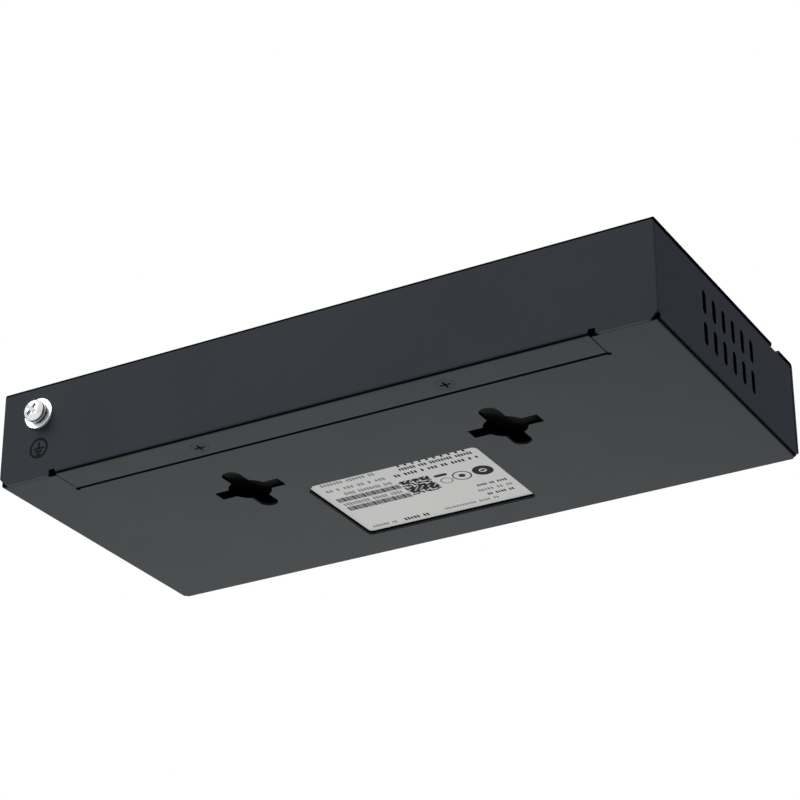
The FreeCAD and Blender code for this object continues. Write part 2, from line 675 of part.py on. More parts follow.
def cut_front(body):
    """Cut the front panel round the port shells, the power socket and its lamp."""
    low = f"({BOARD_TOP} - shell_clearance)"
    high = f"({BOARD_TOP} + shell_height + shell_clearance)"
    banks = [(BANK_ONE_X, "bank_ports"), (BANK_TWO_X, "bank_ports"), (UPLINK_X, "1")]
    openings = new_sketch(body, "XZ_Plane", "hang_setback + 1")
    for middle, count in banks:
        half = f"({shell_half(count)} + shell_clearance)"
        rectangle(openings, f"{middle} - {half}", f"{middle} + {half}", low, high)
    circle(openings, POWER_X, f"{BOARD_TOP} + power_axis", "power_collar / 2 + shell_clearance")
    circle(openings, STATUS_X, f"{BOARD_TOP} + status_axis", "status_diameter / 2 + shell_clearance")
    pocket(body, openings, "sheet_gauge + 2")


def vent_outline(sketch, across, up):
    """A vent: a slot whose half-round ends are drawn with five flats each."""
    radius = "(vent_width / 2)"
    reach = f"(vent_length / 2 - {radius})"
    corners = []
    for side in ("+", "-"):
        for turn in range(0, 181, 36):
            angle = turn if side == "+" else turn + 180
            corners.append((
                f"{across} + {radius} * cos({angle})",
                f"{up} {side} {reach} + {radius} * sin({angle})",
            ))
    polygon(sketch, corners)


def cut_vents(body):
    vents = new_sketch(body, "YZ_Plane")
    start = f"({FRONT} + vent_setback - vent_pitch * (vent_columns - 1) / 2)"
    for up in (VENT_LOW, f"({VENT_LOW} + vent_row_pitch)"):
        vent_outline(vents, start, up)
    slots = pocket(body, vents, "case_length + 2", both_ways=True)
    repeat(body, [slots], "Y_Axis", "vent_columns", "vent_pitch")


# The cover: top, rear wall and the fixing strip under the case, one folded sheet
def make_cover():
    body = new_body("top_cover")
    section = new_sketch(body, "YZ_Plane")
    polygon(section, [
        (COVER_EDGE, "case_height"),
        (REAR, "case_height"),
        (REAR, "0"),
        (f"{REAR} - sheet_gauge", "0"),
        (f"{REAR} - sheet_gauge", CEILING),
        (COVER_EDGE, CEILING),
    ])
    pad(body, section, "case_length", both_ways=True)
    sheet_bends(body, [(REAR, "case_height")], [(f"{REAR} - sheet_gauge", CEILING)])
    add_strip(body)
    cut_rear_wall(body)
    return body


def add_strip(body):
    """Fold the fixing strip under, between two relief notches."""
    notches = new_sketch(body, "XZ_Plane", f"-({REAR} + 1)")
    half = "(strip_length / 2 + strip_notch)"
    rectangle(notches, f"-{half}", half, "-1", f"{BEND} + relief_extra")
    pocket(body, notches, "sheet_gauge + 2", backwards=True)
    strip = new_sketch(body, "YZ_Plane")
    polygon(strip, [
        (REAR, f"2 * {BEND}"),
        (REAR, "0"),
        (STRIP_EDGE, "0"),
        (STRIP_EDGE, "sheet_gauge"),
        (f"{REAR} - sheet_gauge", "sheet_gauge"),
        (f"{REAR} - sheet_gauge", f"2 * {BEND}"),
    ])
    pad(body, strip, "strip_length", both_ways=True)
    inside = [(f"{REAR} - sheet_gauge", "sheet_gauge")]
    sheet_bends(body, [(REAR, "0")], inside, "strip_length / 2")
    for side in ("", "-"):
        cone = body.newObject("PartDesign::SubtractiveCone", "Countersink")
        tie(cone, "Radius1", "csk_head_diameter / 2 + head_clearance")
        tie(cone, "Radius2", "csk_head_diameter / 2 + head_clearance - sheet_gauge")
        tie(cone, "Height", "sheet_gauge")
        place(cone, f"{side}(strip_screw_spacing / 2)", SCREW_LINE, "0")
        doc.recompute()


def cut_rear_wall(body):
    """Cut the earth screw's hole and the wall's two lower corners."""
    cuts = new_sketch(body, "XZ_Plane", f"-({REAR} + 1)")
    circle(cuts, GROUND_X, GROUND_Z, "(ground_shank + 2 * screw_clearance) / 2")
    for side in ("", "-"):
        polygon(cuts, [
            (f"{side}({END} - corner_cut)", "-1"),
            (f"{side}({END} + 1)", "-1"),
            (f"{side}({END} + 1)", "corner_cut"),
            (f"{side}{END}", "corner_cut"),
            (f"{side}({END} - corner_cut)", "0"),
        ])
    pocket(body, cuts, "sheet_gauge + 2", backwards=True)


def make_hooks():
    """Two hooks, welded under the cover, that reach in under the lip."""
    body = new_body("hook_pattern")
    section = new_sketch(body, "YZ_Plane")
    bottom = f"({LIP_LOW} - sheet_gauge - hook_clearance)"
    rise = f"({LIP_END} + hook_clearance)"
    polygon(section, [
        (f"{rise} + hook_weld", CEILING),
        (rise, CEILING),
        (rise, bottom),
        (f"{rise} - hook_reach", bottom),
        (f"{rise} - hook_reach", f"{bottom} - sheet_gauge"),
        (f"{rise} + sheet_gauge", f"{bottom} - sheet_gauge"),
        (f"{rise} + sheet_gauge", f"{CEILING} - sheet_gauge"),
        (f"{rise} + hook_weld", f"{CEILING} - sheet_gauge"),
    ])
    pad(body, section, "hook_width", both_ways=True)
    half = value(f"{END} - hook_inset")
    return copies("cover_hooks", body, [(half, 0, 0), (-half, 0, 0)])


def make_cover_screws():
    """Two countersunk screws, heads flush with the underside, driven from below."""
    body = new_body("cover_screw_pattern")
    head = "(csk_head_diameter / 2)"
    shank = "(csk_screw_diameter / 2)"
    revolve(body, [
        ("0", "0"),
        (head, "0"),
        (f"{head} - sheet_gauge", "sheet_gauge"),
        (shank, "sheet_gauge"),
        (shank, "csk_screw_length"),
        ("0", "csk_screw_length"),
    ])
    cross_recess(body, "csk_head_diameter", "0", from_below=True)
    spread = value("strip_screw_spacing / 2")
    line = value(SCREW_LINE)
    return copies("cover_screws", body, [(spread, line, 0), (-spread, line, 0)])


def make_label():
    body = new_body("rating_label")
    outline = new_sketch(body, "XY_Plane", "recess_depth")
    recess_outline(outline, "(-label_margin)")
    pad(body, outline, "label_thickness", backwards=True)
    round_recess(body, "(-label_margin)", "recess_radius - label_margin")
    return body


def shell_half(count):
    """Half the width of a port shell with this many ports."""
    return f"((port_pitch * ({count} - 1) + shell_margin) / 2)"


def turn_outwards(body):
    """Turn a piece built about Z to face +Y on the earth screw's axis."""
    body.Placement = FreeCAD.Placement(Vector(0, 0, 0), FreeCAD.Rotation(Vector(1, 0, 0), -90))
    place(body, GROUND_X, REAR, GROUND_Z)
    doc.recompute()


# The earth screw with its washers outside the rear wall and its nut inside
def make_ground_screw():
    body = new_body("ground_screw")
    seat = "(ground_washer_gauge + ground_spring_gauge)"
    top = f"({seat} + ground_head_height)"
    radius = "(ground_head_diameter / 2)"
    revolve(body, [
        ("0", f"{seat} - ground_length"),
        ("ground_shank / 2", f"{seat} - ground_length"),
        ("ground_shank / 2", seat),
        (radius, seat),
        (radius, f"{top} - ground_head_dome"),
        (f"{radius} - ground_head_dome * (1 - cos(45))", f"{top} - ground_head_dome * (1 - sin(45))"),
        (f"{radius} - ground_head_dome", top),
        ("0", top),
    ])
    cross_recess(body, "ground_head_diameter", top)
    turn_outwards(body)
    return body


def make_flat_washer():
    body = new_body("ground_flat_washer")
    hole = "(ground_shank / 2 + screw_clearance)"
    revolve(body, [
        (hole, "0"),
        ("ground_washer_diameter / 2", "0"),
        ("ground_washer_diameter / 2", "ground_washer_gauge"),
        (hole, "ground_washer_gauge"),
    ])
    turn_outwards(body)
    return body


def make_spring_washer():
    """A square-section ring with one slanting split."""
    body = new_body("ground_spring_washer")
    hole = "(ground_shank / 2 + screw_clearance)"
    low = "ground_washer_gauge"
    high = "(ground_washer_gauge + ground_spring_gauge)"
    revolve(body, [
        (hole, low),
        ("ground_spring_diameter / 2", low),
        ("ground_spring_diameter / 2", high),
        (hole, high),
    ])
    split = new_sketch(body, "YZ_Plane")
    polygon(split, [("-spring_split", low), ("0", low), ("spring_split", high), ("0", high)])
    pocket(body, split, "ground_spring_diameter", backwards=True)
    turn_outwards(body)
    return body


def make_ground_nut():
    """A hexagonal nut pressed to the inside of the rear wall."""
    body = new_body("ground_nut")
    blank = new_sketch(body, "XY_Plane", "-sheet_gauge")
    hexagon(blank, "ground_nut_flats")
    pad(body, blank, "ground_nut_height", backwards=True)
    thread = new_sketch(body, "XY_Plane", "-sheet_gauge")
    circle(thread, "0", "0", "(ground_shank + thread_clearance) / 2")
    pocket(body, thread, "ground_nut_height")
    turn_outwards(body)
    return body


# The circuit board, its pillars, screws and insulating film
def pillar_places(height):
    """The four pillars' places, as numbers, at one height."""
    across = value(f"{BOARD_END} - pillar_inset_x")
    front = value(f"{BOARD_FRONT} + pillar_front")
    back = value(f"{BOARD_BACK} - pillar_back")
    up = value(height)
    return [(x, y, up) for x in (-across, across) for y in (front, back)]


def make_pillars():
    """Hexagonal pillars pressed on the underside, each with a blind thread."""
    body = new_body("pillar_pattern")
    rise = "(board_height - sheet_gauge)"
    outside = new_sketch(body, "XY_Plane")
    hexagon(outside, "pillar_flats")
    pad(body, outside, rise)
    thread = new_sketch(body, "XY_Plane", rise)
    circle(thread, "0", "0", "(pillar_thread + thread_clearance) / 2")
    pocket(body, thread, f"{rise} - pillar_floor")
    return copies("board_pillars", body, pillar_places("sheet_gauge"))


def make_board_screws():
    body = new_body("board_screw_pattern")
    revolve(body, [
        ("0", "-board_screw_length"),
        ("pillar_thread / 2", "-board_screw_length"),
        ("pillar_thread / 2", "0"),
        ("board_screw_head / 2", "0"),
        ("board_screw_head / 2", "board_screw_rise"),
        ("0", "board_screw_rise"),
    ])
    return copies("board_screws", body, pillar_places(BOARD_TOP))


def make_board():
    body = new_body("main_board")
    outline = new_sketch(body, "XY_Plane", "board_height")
    half = BOARD_END
    polygon(outline, [
        (f"-{half} + board_corner", BOARD_FRONT),
        (f"{half} - board_corner", BOARD_FRONT),
        (half, f"{BOARD_FRONT} + board_corner"),
        (half, f"{BOARD_BACK} - board_corner"),
        (f"{half} - board_corner", BOARD_BACK),
        (f"-{half} + board_corner", BOARD_BACK),
        (f"-{half}", f"{BOARD_BACK} - board_corner"),
        (f"-{half}", f"{BOARD_FRONT} + board_corner"),
    ])
    pad(body, outline, "board_gauge")
    holes = new_sketch(body, "XY_Plane", BOARD_TOP)
    for side in ("", "-"):
        across = f"{side}({half} - pillar_inset_x)"
        for along in (f"{BOARD_FRONT} + pillar_front", f"{BOARD_BACK} - pillar_back"):
            circle(holes, across, along, "pillar_thread / 2 + screw_clearance")
    pocket(body, holes, "board_gauge + 1")
    return body


def make_film():
    half = "(hang_spacing / 2 + cross_slot_length / 2 + film_side)"
    front = "(-hang_slot_length / 2 - film_front)"
    return box(
        "insulating_film",
        f"-{half}", front, "board_height - film_gauge",
        f"2 * {half}", f"{BOARD_BACK} - film_back - {front}", "film_gauge",
    )


# A bank of ports: shell, housing, contact springs and lamps
def first_port(middle, count):
    """The middle of a bank's first port."""
    return f"({middle} - port_pitch * ({count} - 1) / 2)"


def mouth_outline(sketch, middle, grow):
    """A port's mouth with the two steps of the latch groove under it."""
    wide = f"(mouth_width / 2 + {grow})"
    latch = f"(latch_width / 2 + {grow})"
    catch = f"(catch_width / 2 + {grow})"
    top = f"({MOUTH_TOP} + {grow})"
    low = f"({MOUTH_LOW} - {grow})"
    step = f"({low} - latch_drop)"
    foot = f"({step} - catch_drop)"
    polygon(sketch, [
        (f"{middle} - {wide}", low),
        (f"{middle} - {latch}", low),
        (f"{middle} - {latch}", step),
        (f"{middle} - {catch}", step),
        (f"{middle} - {catch}", foot),
        (f"{middle} + {catch}", foot),
        (f"{middle} + {catch}", step),
        (f"{middle} + {latch}", step),
        (f"{middle} + {latch}", low),
        (f"{middle} + {wide}", low),
        (f"{middle} + {wide}", top),
        (f"{middle} - {wide}", top),
    ])


def lamp_outlines(sketch, middle, grow):
    """The two small lamps over a port's mouth."""
    low = f"({MOUTH_TOP} + lamp_rise - {grow})"
    high = f"({MOUTH_TOP} + lamp_rise + lamp_height + {grow})"
    half = f"(lamp_width / 2 + {grow})"
    for side in ("-", "+"):
        lamp = f"({middle} {side} lamp_spread / 2)"
        rectangle(sketch, f"{lamp} - {half}", f"{lamp} + {half}", low, high)


def along_ports(body, features, count):
    """The features at each port of a bank."""
    if value(count) > 1:
        repeat(body, features, "X_Axis", count, "port_pitch")


def make_shell(name, middle, count):
    """A folded shell over a bank of ports, open to the board."""
    body = new_body(f"{name}_shell")
    half = shell_half(count)
    outside = new_sketch(body, "XY_Plane", BOARD_TOP)
    back = f"({PORT_FACE} + shell_depth)"
    rectangle(outside, f"{middle} - {half}", f"{middle} + {half}", PORT_FACE, back)
    pad(body, outside, "shell_height")
    inside = new_sketch(body, "XY_Plane", BOARD_TOP)
    rectangle(
        inside,
        f"{middle} - {half} + shell_gauge", f"{middle} + {half} - shell_gauge",
        f"{PORT_FACE} + shell_gauge", f"{back} - shell_gauge",
    )
    pocket(body, inside, "shell_height - shell_gauge", backwards=True)
    windows = new_sketch(body, "XZ_Plane", f"-{PORT_FACE} + 1")
    start = first_port(middle, count)
    mouth_outline(windows, start, "window_rim")
    lamp_outlines(windows, start, "0")
    along_ports(body, [pocket(body, windows, "shell_gauge + 1 + shell_gauge / 2")], count)
    return body


def comb_half():
    """Half the width of the slot that a port's springs pass through."""
    return "(contact_pitch * (contacts - 1) / 2 + contact_width / 2 + comb_clearance)"


def make_housing(name, middle, count):
    """The moulded block inside a shell, with its ports and the springs' comb."""
    body = new_body(f"{name}_housing")
    half = f"({shell_half(count)} - shell_gauge)"
    face = f"({PORT_FACE} + shell_gauge)"
    block = new_sketch(body, "XY_Plane", BOARD_TOP)
    back = f"({PORT_FACE} + shell_depth - shell_gauge)"
    rectangle(block, f"{middle} - {half}", f"{middle} + {half}", face, back)
    pad(body, block, "shell_height - shell_gauge")
    start = first_port(middle, count)
    front = f"-{PORT_FACE} + 1"
    mouth = new_sketch(body, "XZ_Plane", front)
    mouth_outline(mouth, start, "0")
    cuts = [pocket(body, mouth, "mouth_depth + 1")]
    lamps = new_sketch(body, "XZ_Plane", front)
    lamp_outlines(lamps, start, "0")
    cuts.append(pocket(body, lamps, "lamp_depth + 1"))
    comb = new_sketch(body, "XZ_Plane", front)
    low = f"({MOUTH_TOP} - contact_gauge - comb_clearance)"
    rectangle(comb, f"{start} - {comb_half()}", f"{start} + {comb_half()}", low, MOUTH_TOP)
    cuts.append(pocket(body, comb, "contact_tail + comb_clearance + 1"))
    tails = new_sketch(body, "XY_Plane", BOARD_TOP)
    rectangle(
        tails,
        f"{start} - {comb_half()}", f"{start} + {comb_half()}",
        f"{PORT_FACE} + contact_tail - contact_gauge - comb_clearance",
        f"{PORT_FACE} + contact_tail + comb_clearance",
    )
    cuts.append(pocket(body, tails, f"{MOUTH_TOP} - {BOARD_TOP}", backwards=True))
    along_ports(body, cuts, count)
    return body


def make_contacts(name, middle, count):
    """The springs of a bank: tail, run under the ceiling, nose bend and free end."""
    body = new_body(f"{name}_contact_pattern")
    nose = f"({PORT_FACE} + contact_nose)"
    reach = f"({PORT_FACE} + contact_reach)"
    tail = f"({PORT_FACE} + contact_tail)"
    side = new_sketch(body, "YZ_Plane")
    polygon(side, [
        (nose, MOUTH_TOP),
        (tail, MOUTH_TOP),
        (tail, BOARD_TOP),
        (f"{tail} - contact_gauge", BOARD_TOP),
        (f"{tail} - contact_gauge", f"{MOUTH_TOP} - contact_gauge"),
        (f"{nose} + contact_crook", f"{MOUTH_TOP} - contact_gauge"),
        (reach, f"{MOUTH_TOP} - contact_dip"),
        (f"{reach} - contact_gauge / 2", f"{MOUTH_TOP} - contact_dip - contact_gauge"),
        (nose, f"{MOUTH_TOP} - contact_gauge"),
    ])
    pad(body, side, "contact_width", both_ways=True)
    start = value(first_port(middle, count))
    places = []
    for port in range(int(value(count))):
        for spring in range(int(value("contacts"))):
            across = (spring - (value("contacts") - 1) / 2) * value("contact_pitch")
            places.append((start + port * value("port_pitch") + across, 0, 0))
    return copies(f"{name}_contacts", body, places)


def make_port_lamps(name, middle, count):
    """The light guides over a bank's ports, flush with the shell."""
    lamp = box(
        f"{name}_lamp_pattern",
        "-lamp_width / 2", PORT_FACE, f"{MOUTH_TOP} + lamp_rise",
        "lamp_width", "lamp_depth", "lamp_height",
    )
    doc.recompute()
    start = value(first_port(middle, count))
    places = []
    for port in range(int(value(count))):
        for side in (-1, 1):
            across = port * value("port_pitch") + side * value("lamp_spread / 2")
            places.append((start + across, 0, 0))
    return copies(f"{name}_lamps", lamp, places)


def make_bank(name, middle, count):
    return [
        make_shell(name, middle, count),
        make_housing(name, middle, count),
        make_contacts(name, middle, count),
        make_port_lamps(name, middle, count),
    ]


# The power socket and the power lamp
def make_power_socket():
    body = new_body("power_socket")
    face = f"({FRONT} + power_setback)"
    block = new_sketch(body, "XY_Plane", BOARD_TOP)
    rectangle(
        block,
        f"{POWER_X} - power_width / 2", f"{POWER_X} + power_width / 2", face, f"{face} + power_depth",
    )
    pad(body, block, "power_rise")
    collar = new_sketch(body, "XZ_Plane", f"-{face}")
    circle(collar, POWER_X, f"{BOARD_TOP} + power_axis", "power_collar / 2")
    pad(body, collar, "power_setback")
    bore = new_sketch(body, "XZ_Plane", f"-{FRONT}")
    circle(bore, POWER_X, f"{BOARD_TOP} + power_axis", "power_bore / 2")
    pocket(body, bore, "power_bore_depth")
    return body


def make_power_pin():
    """The centre pin, seated on the floor of the power socket's bore."""
    body = new_body("power_pin")
    foot = new_sketch(body, "XZ_Plane", f"-({FRONT} + power_bore_depth)")
    circle(foot, POWER_X, f"{BOARD_TOP} + power_axis", "power_pin / 2")
    pad(body, foot, "power_pin_length")
    return body


def make_status_lamp():
    """A round lamp whose flange seats on its holder, and whose nose fills the panel's hole."""
    body = new_body("status_lamp")
    radius = "(status_diameter / 2)"
    revolve(body, [
        ("0", "0"),
        (f"{radius} + status_flange", "0"),
        (f"{radius} + status_flange", "status_flange_rise"),
        (radius, "status_flange_rise"),
        (radius, "status_reach - status_bevel"),
        (f"{radius} - status_bevel", "status_reach"),
        ("0", "status_reach"),
    ])
    body.Placement = FreeCAD.Placement(Vector(0, 0, 0), FreeCAD.Rotation(Vector(1, 0, 0), 90))
    place(body, STATUS_X, f"{FRONT} + status_setback", f"{BOARD_TOP} + status_axis")
    doc.recompute()
    return body


def make_lamp_holder():
    body = new_body("lamp_holder")
    half = "(status_block / 2)"
    block = new_sketch(body, "XY_Plane", BOARD_TOP)
    rectangle(
        block,
        f"{STATUS_X} - {half}", f"{STATUS_X} + {half}",
        f"{FRONT} + status_setback", f"{FRONT} + status_setback + status_block",
    )
    pad(body, block, f"status_axis + {half}")
    return body


# The chips and what feeds them
def make_chip():
    body = new_body("switch_chip")
    half = "(chip_side / 2)"
    package = new_sketch(body, "XY_Plane", BOARD_TOP)
    rectangle(
        package,
        f"{CHIP_X} - {half}", f"{CHIP_X} + {half}", f"{PARTS_Y} - {half}", f"{PARTS_Y} + {half}",
    )
    pad(body, package, "chip_rise")
    return body


def make_thermal_pad():
    half = "pad_side / 2"
    return box(
        "thermal_pad",
        f"{CHIP_X} - {half}", f"{PARTS_Y} - {half}", f"{BOARD_TOP} + chip_rise",
        "pad_side", "pad_side", "pad_gauge",
    )


def make_heat_sink():
    body = new_body("heat_sink")
    half = "(sink_side / 2)"
    seat = f"({BOARD_TOP} + chip_rise + pad_gauge)"
    left = f"({CHIP_X} - {half})"
    front = f"({PARTS_Y} - {half})"
    base = new_sketch(body, "XY_Plane", seat)
    rectangle(base, left, f"{left} + sink_side", front, f"{front} + sink_side")
    pad(body, base, "sink_base")
    fin = new_sketch(body, "XY_Plane", f"{seat} + sink_base")
    rectangle(fin, left, f"{left} + sink_fin_gauge", front, f"{front} + sink_side")
    first = pad(body, fin, "sink_rise - sink_base")
    repeat(body, [first], "X_Axis", "sink_fins", "(sink_side - sink_fin_gauge) / (sink_fins - 1)")
    return body


def make_module(label, length):
    """A transformer module centred on the origin, its upper edges bevelled."""
    body = new_body(label)
    half = f"({length} / 2)"
    deep = "(magnetics_depth / 2)"
    block = new_sketch(body, "XY_Plane")
    rectangle(block, f"-{half}", half, f"-{deep}", deep)
    pad(body, block, "magnetics_rise")
    for along in (deep, f"-{deep}"):
        test = long_edge("magnetics_rise", along, half)
        round_edges(body, test, "magnetics_bevel", "PartDesign::Chamfer", "Size")
    return body


def make_transformers():
    """Two modules behind each bank, and a short one behind the single port."""
    y = value(MODULE_Y)
    z = value(BOARD_TOP)
    pattern = make_module("module_pattern", "magnetics_length")
    places = []
    for middle in (BANK_ONE_X, BANK_TWO_X):
        for side in (-1, 1):
            places.append((value(middle) + side * value("magnetics_pitch / 2"), y, z))
    banks = copies("line_transformers", pattern, places)
    single = make_module("uplink_transformer", "uplink_module_length")
    place(single, UPLINK_X, MODULE_Y, BOARD_TOP)
    doc.recompute()
    return [banks, single]


def make_capacitors():
    body = new_body("capacitor_pattern")
    radius = "(capacitor_diameter / 2)"
    revolve(body, [
        ("0", "0"),
        (radius, "0"),
        (radius, "capacitor_rise"),
        ("0", "capacitor_rise"),
    ])
    places = []
    for number in range(int(value("capacitor_count"))):
        across = value(CAPACITOR_X) + number * value("capacitor_pitch")
        places.append((across, value(PARTS_Y), value(BOARD_TOP)))
    return copies("reservoir_capacitors", body, places)


def make_coil():
    """A shielded supply coil, square with bevelled corners."""
    body = new_body("supply_coil")
    block = new_sketch(body, "XY_Plane")
    half = "(coil_side / 2)"
    short = f"({half} - coil_bevel)"
    polygon(block, [
        (f"-{short}", f"-{half}"), (short, f"-{half}"),
        (half, f"-{short}"), (half, short),
        (short, half), (f"-{short}", half),
        (f"-{half}", short), (f"-{half}", f"-{short}"),
    ])
    pad(body, block, "coil_rise")
    place(body, COIL_X, PARTS_Y, BOARD_TOP)
    doc.recompute()
    return body


def make_small_chip(label, middle):
    return box(
        label,
        f"{middle} - small_chip_length / 2", f"{PARTS_Y} - small_chip_width / 2", BOARD_TOP,
        "small_chip_length", "small_chip_width", "small_chip_rise",
    )


def make_crystal():
    """The clock crystal's can, long way along Y."""
    body = new_body("clock_crystal")
    outline = new_sketch(body, "XY_Plane", BOARD_TOP)
    upright_slot(outline, CRYSTAL_X, PARTS_Y, "crystal_length", "crystal_width")
    pad(body, outline, "crystal_rise")
    return body


nodes = [
    make_tray(),
    make_cover(),
    make_hooks(),
    make_cover_screws(),
    make_label(),
    make_ground_screw(),
    make_spring_washer(),
    make_flat_washer(),
    make_ground_nut(),
    make_board(),
    make_pillars(),
    make_board_screws(),
    make_film(),
    *make_bank("bank_one", BANK_ONE_X, "bank_ports"),
    *make_bank("bank_two", BANK_TWO_X, "bank_ports"),
    *make_bank("uplink", UPLINK_X, "1"),
    make_power_socket(),
    make_power_pin(),
    make_lamp_holder(),
    make_status_lamp(),
    make_chip(),
    make_thermal_pad(),
    make_heat_sink(),
    *make_transformers(),
    make_capacitors(),
    make_coil(),
    make_small_chip("supply_regulator", REGULATOR_X),
    make_small_chip("memory_chip", MEMORY_X),
    make_crystal(),
]
doc.recompute()
for item in doc.Objects:
    if "Invalid" in item.State or "Error" in item.State:
        raise RuntimeError(f"{item.Label} failed to build")
for node in nodes:
    if node.Shape.isNull() or not node.Shape.isValid():
        raise RuntimeError(f"{node.Label} has no sound shape")
for node in nodes:
    node.Shape.exportStep(f"parts/{node.Label}.step")
    print(node.Label, len(node.Shape.Solids), round(node.Shape.Volume, 1))
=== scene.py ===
"""Dresses the desktop network switch: finishes, label print, earth terminal, studio and camera."""

import json
import logging
import math
from dataclasses import dataclass
from enum import Enum

import bpy
from mathutils import Matrix, Quaternion, Vector


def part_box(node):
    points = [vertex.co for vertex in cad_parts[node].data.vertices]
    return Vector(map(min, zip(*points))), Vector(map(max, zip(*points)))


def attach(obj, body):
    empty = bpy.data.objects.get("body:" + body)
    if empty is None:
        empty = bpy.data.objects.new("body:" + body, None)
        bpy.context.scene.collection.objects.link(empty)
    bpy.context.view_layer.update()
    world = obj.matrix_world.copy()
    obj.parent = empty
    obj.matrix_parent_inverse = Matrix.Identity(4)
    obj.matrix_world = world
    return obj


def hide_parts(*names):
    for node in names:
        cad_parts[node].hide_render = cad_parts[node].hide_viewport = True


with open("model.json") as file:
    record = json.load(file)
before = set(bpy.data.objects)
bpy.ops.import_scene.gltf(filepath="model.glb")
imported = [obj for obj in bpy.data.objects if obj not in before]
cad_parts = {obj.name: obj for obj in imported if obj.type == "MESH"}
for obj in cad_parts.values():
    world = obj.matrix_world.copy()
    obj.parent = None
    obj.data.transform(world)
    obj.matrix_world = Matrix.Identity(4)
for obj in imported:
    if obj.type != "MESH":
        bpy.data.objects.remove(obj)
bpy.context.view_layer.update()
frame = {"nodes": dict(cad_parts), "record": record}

log = logging.getLogger("switch")

MM = 0.001
WELD = 0.0005 * MM
WHITE = (1.0, 1.0, 1.0)

Colour = tuple[float, float, float]
Point = tuple[float, float, float]


class Slot(Enum):
    """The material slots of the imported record."""

    CASE_PAINT = "case_paint"
    BRIGHT_STEEL = "bright_steel"
    DARK_STEEL = "dark_steel"
    ZINC_STEEL = "zinc_steel"
    SHELL_STEEL = "shell_steel"
    LABEL_FILM = "label_film"
    BOARD_LAMINATE = "board_laminate"
    BLACK_FILM = "black_film"
    BLACK_PLASTIC = "black_plastic"
    SPRING_GOLD = "spring_gold"
    LAMP_CLEAR = "lamp_clear"
    EPOXY_BLACK = "epoxy_black"
    PAD_GREY = "pad_grey"
    SINK_BLACK = "sink_black"
    CAN_ALUMINIUM = "can_aluminium"
    FERRITE_GREY = "ferrite_grey"


class Tone(Enum):
    """How strongly a mark on the label is printed."""

    FULL = "full"
    FAINT = "faint"


class Signal:
    """A shader socket that joins in sums written as Python expressions."""

    def __init__(self, graph: "Graph", socket: bpy.types.NodeSocket) -> None:
        """Wrap one output socket of a graph.

        Args:
            graph: the graph that holds the socket's node.
            socket: the output socket.
        """
        self.graph = graph
        self.socket = socket

    def _math(self, operation: str, *values: "Signal | float") -> "Signal":
        """Add one Math node.

        Args:
            operation: the Math node's operation.
            values: its inputs in order.

        Returns:
            The node's result.
        """
        return self.graph.node("ShaderNodeMath", {"operation": operation}, dict(enumerate(values)))

    def __add__(self, other: "Signal | float") -> "Signal":
        """Return the sum of two values."""
        return self._math("ADD", self, other)

    __radd__ = __add__

    def __sub__(self, other: "Signal | float") -> "Signal":
        """Return this value less another."""
        return self._math("SUBTRACT", self, other)

    def __rsub__(self, other: float) -> "Signal":
        """Return a number less this value."""
        return self._math("SUBTRACT", other, self)

    def __mul__(self, other: "Signal | float") -> "Signal":
        """Return the product of two values."""
        return self._math("MULTIPLY", self, other)

    __rmul__ = __mul__

    def __abs__(self) -> "Signal":
        """Return this value without its sign."""
        return self._math("ABSOLUTE", self)

    def __or__(self, other: "Signal") -> "Signal":
        """Return the greater of two values."""
        return self._math("MAXIMUM", self, other)


Value = Signal | float | Point | tuple[float, float, float, float]


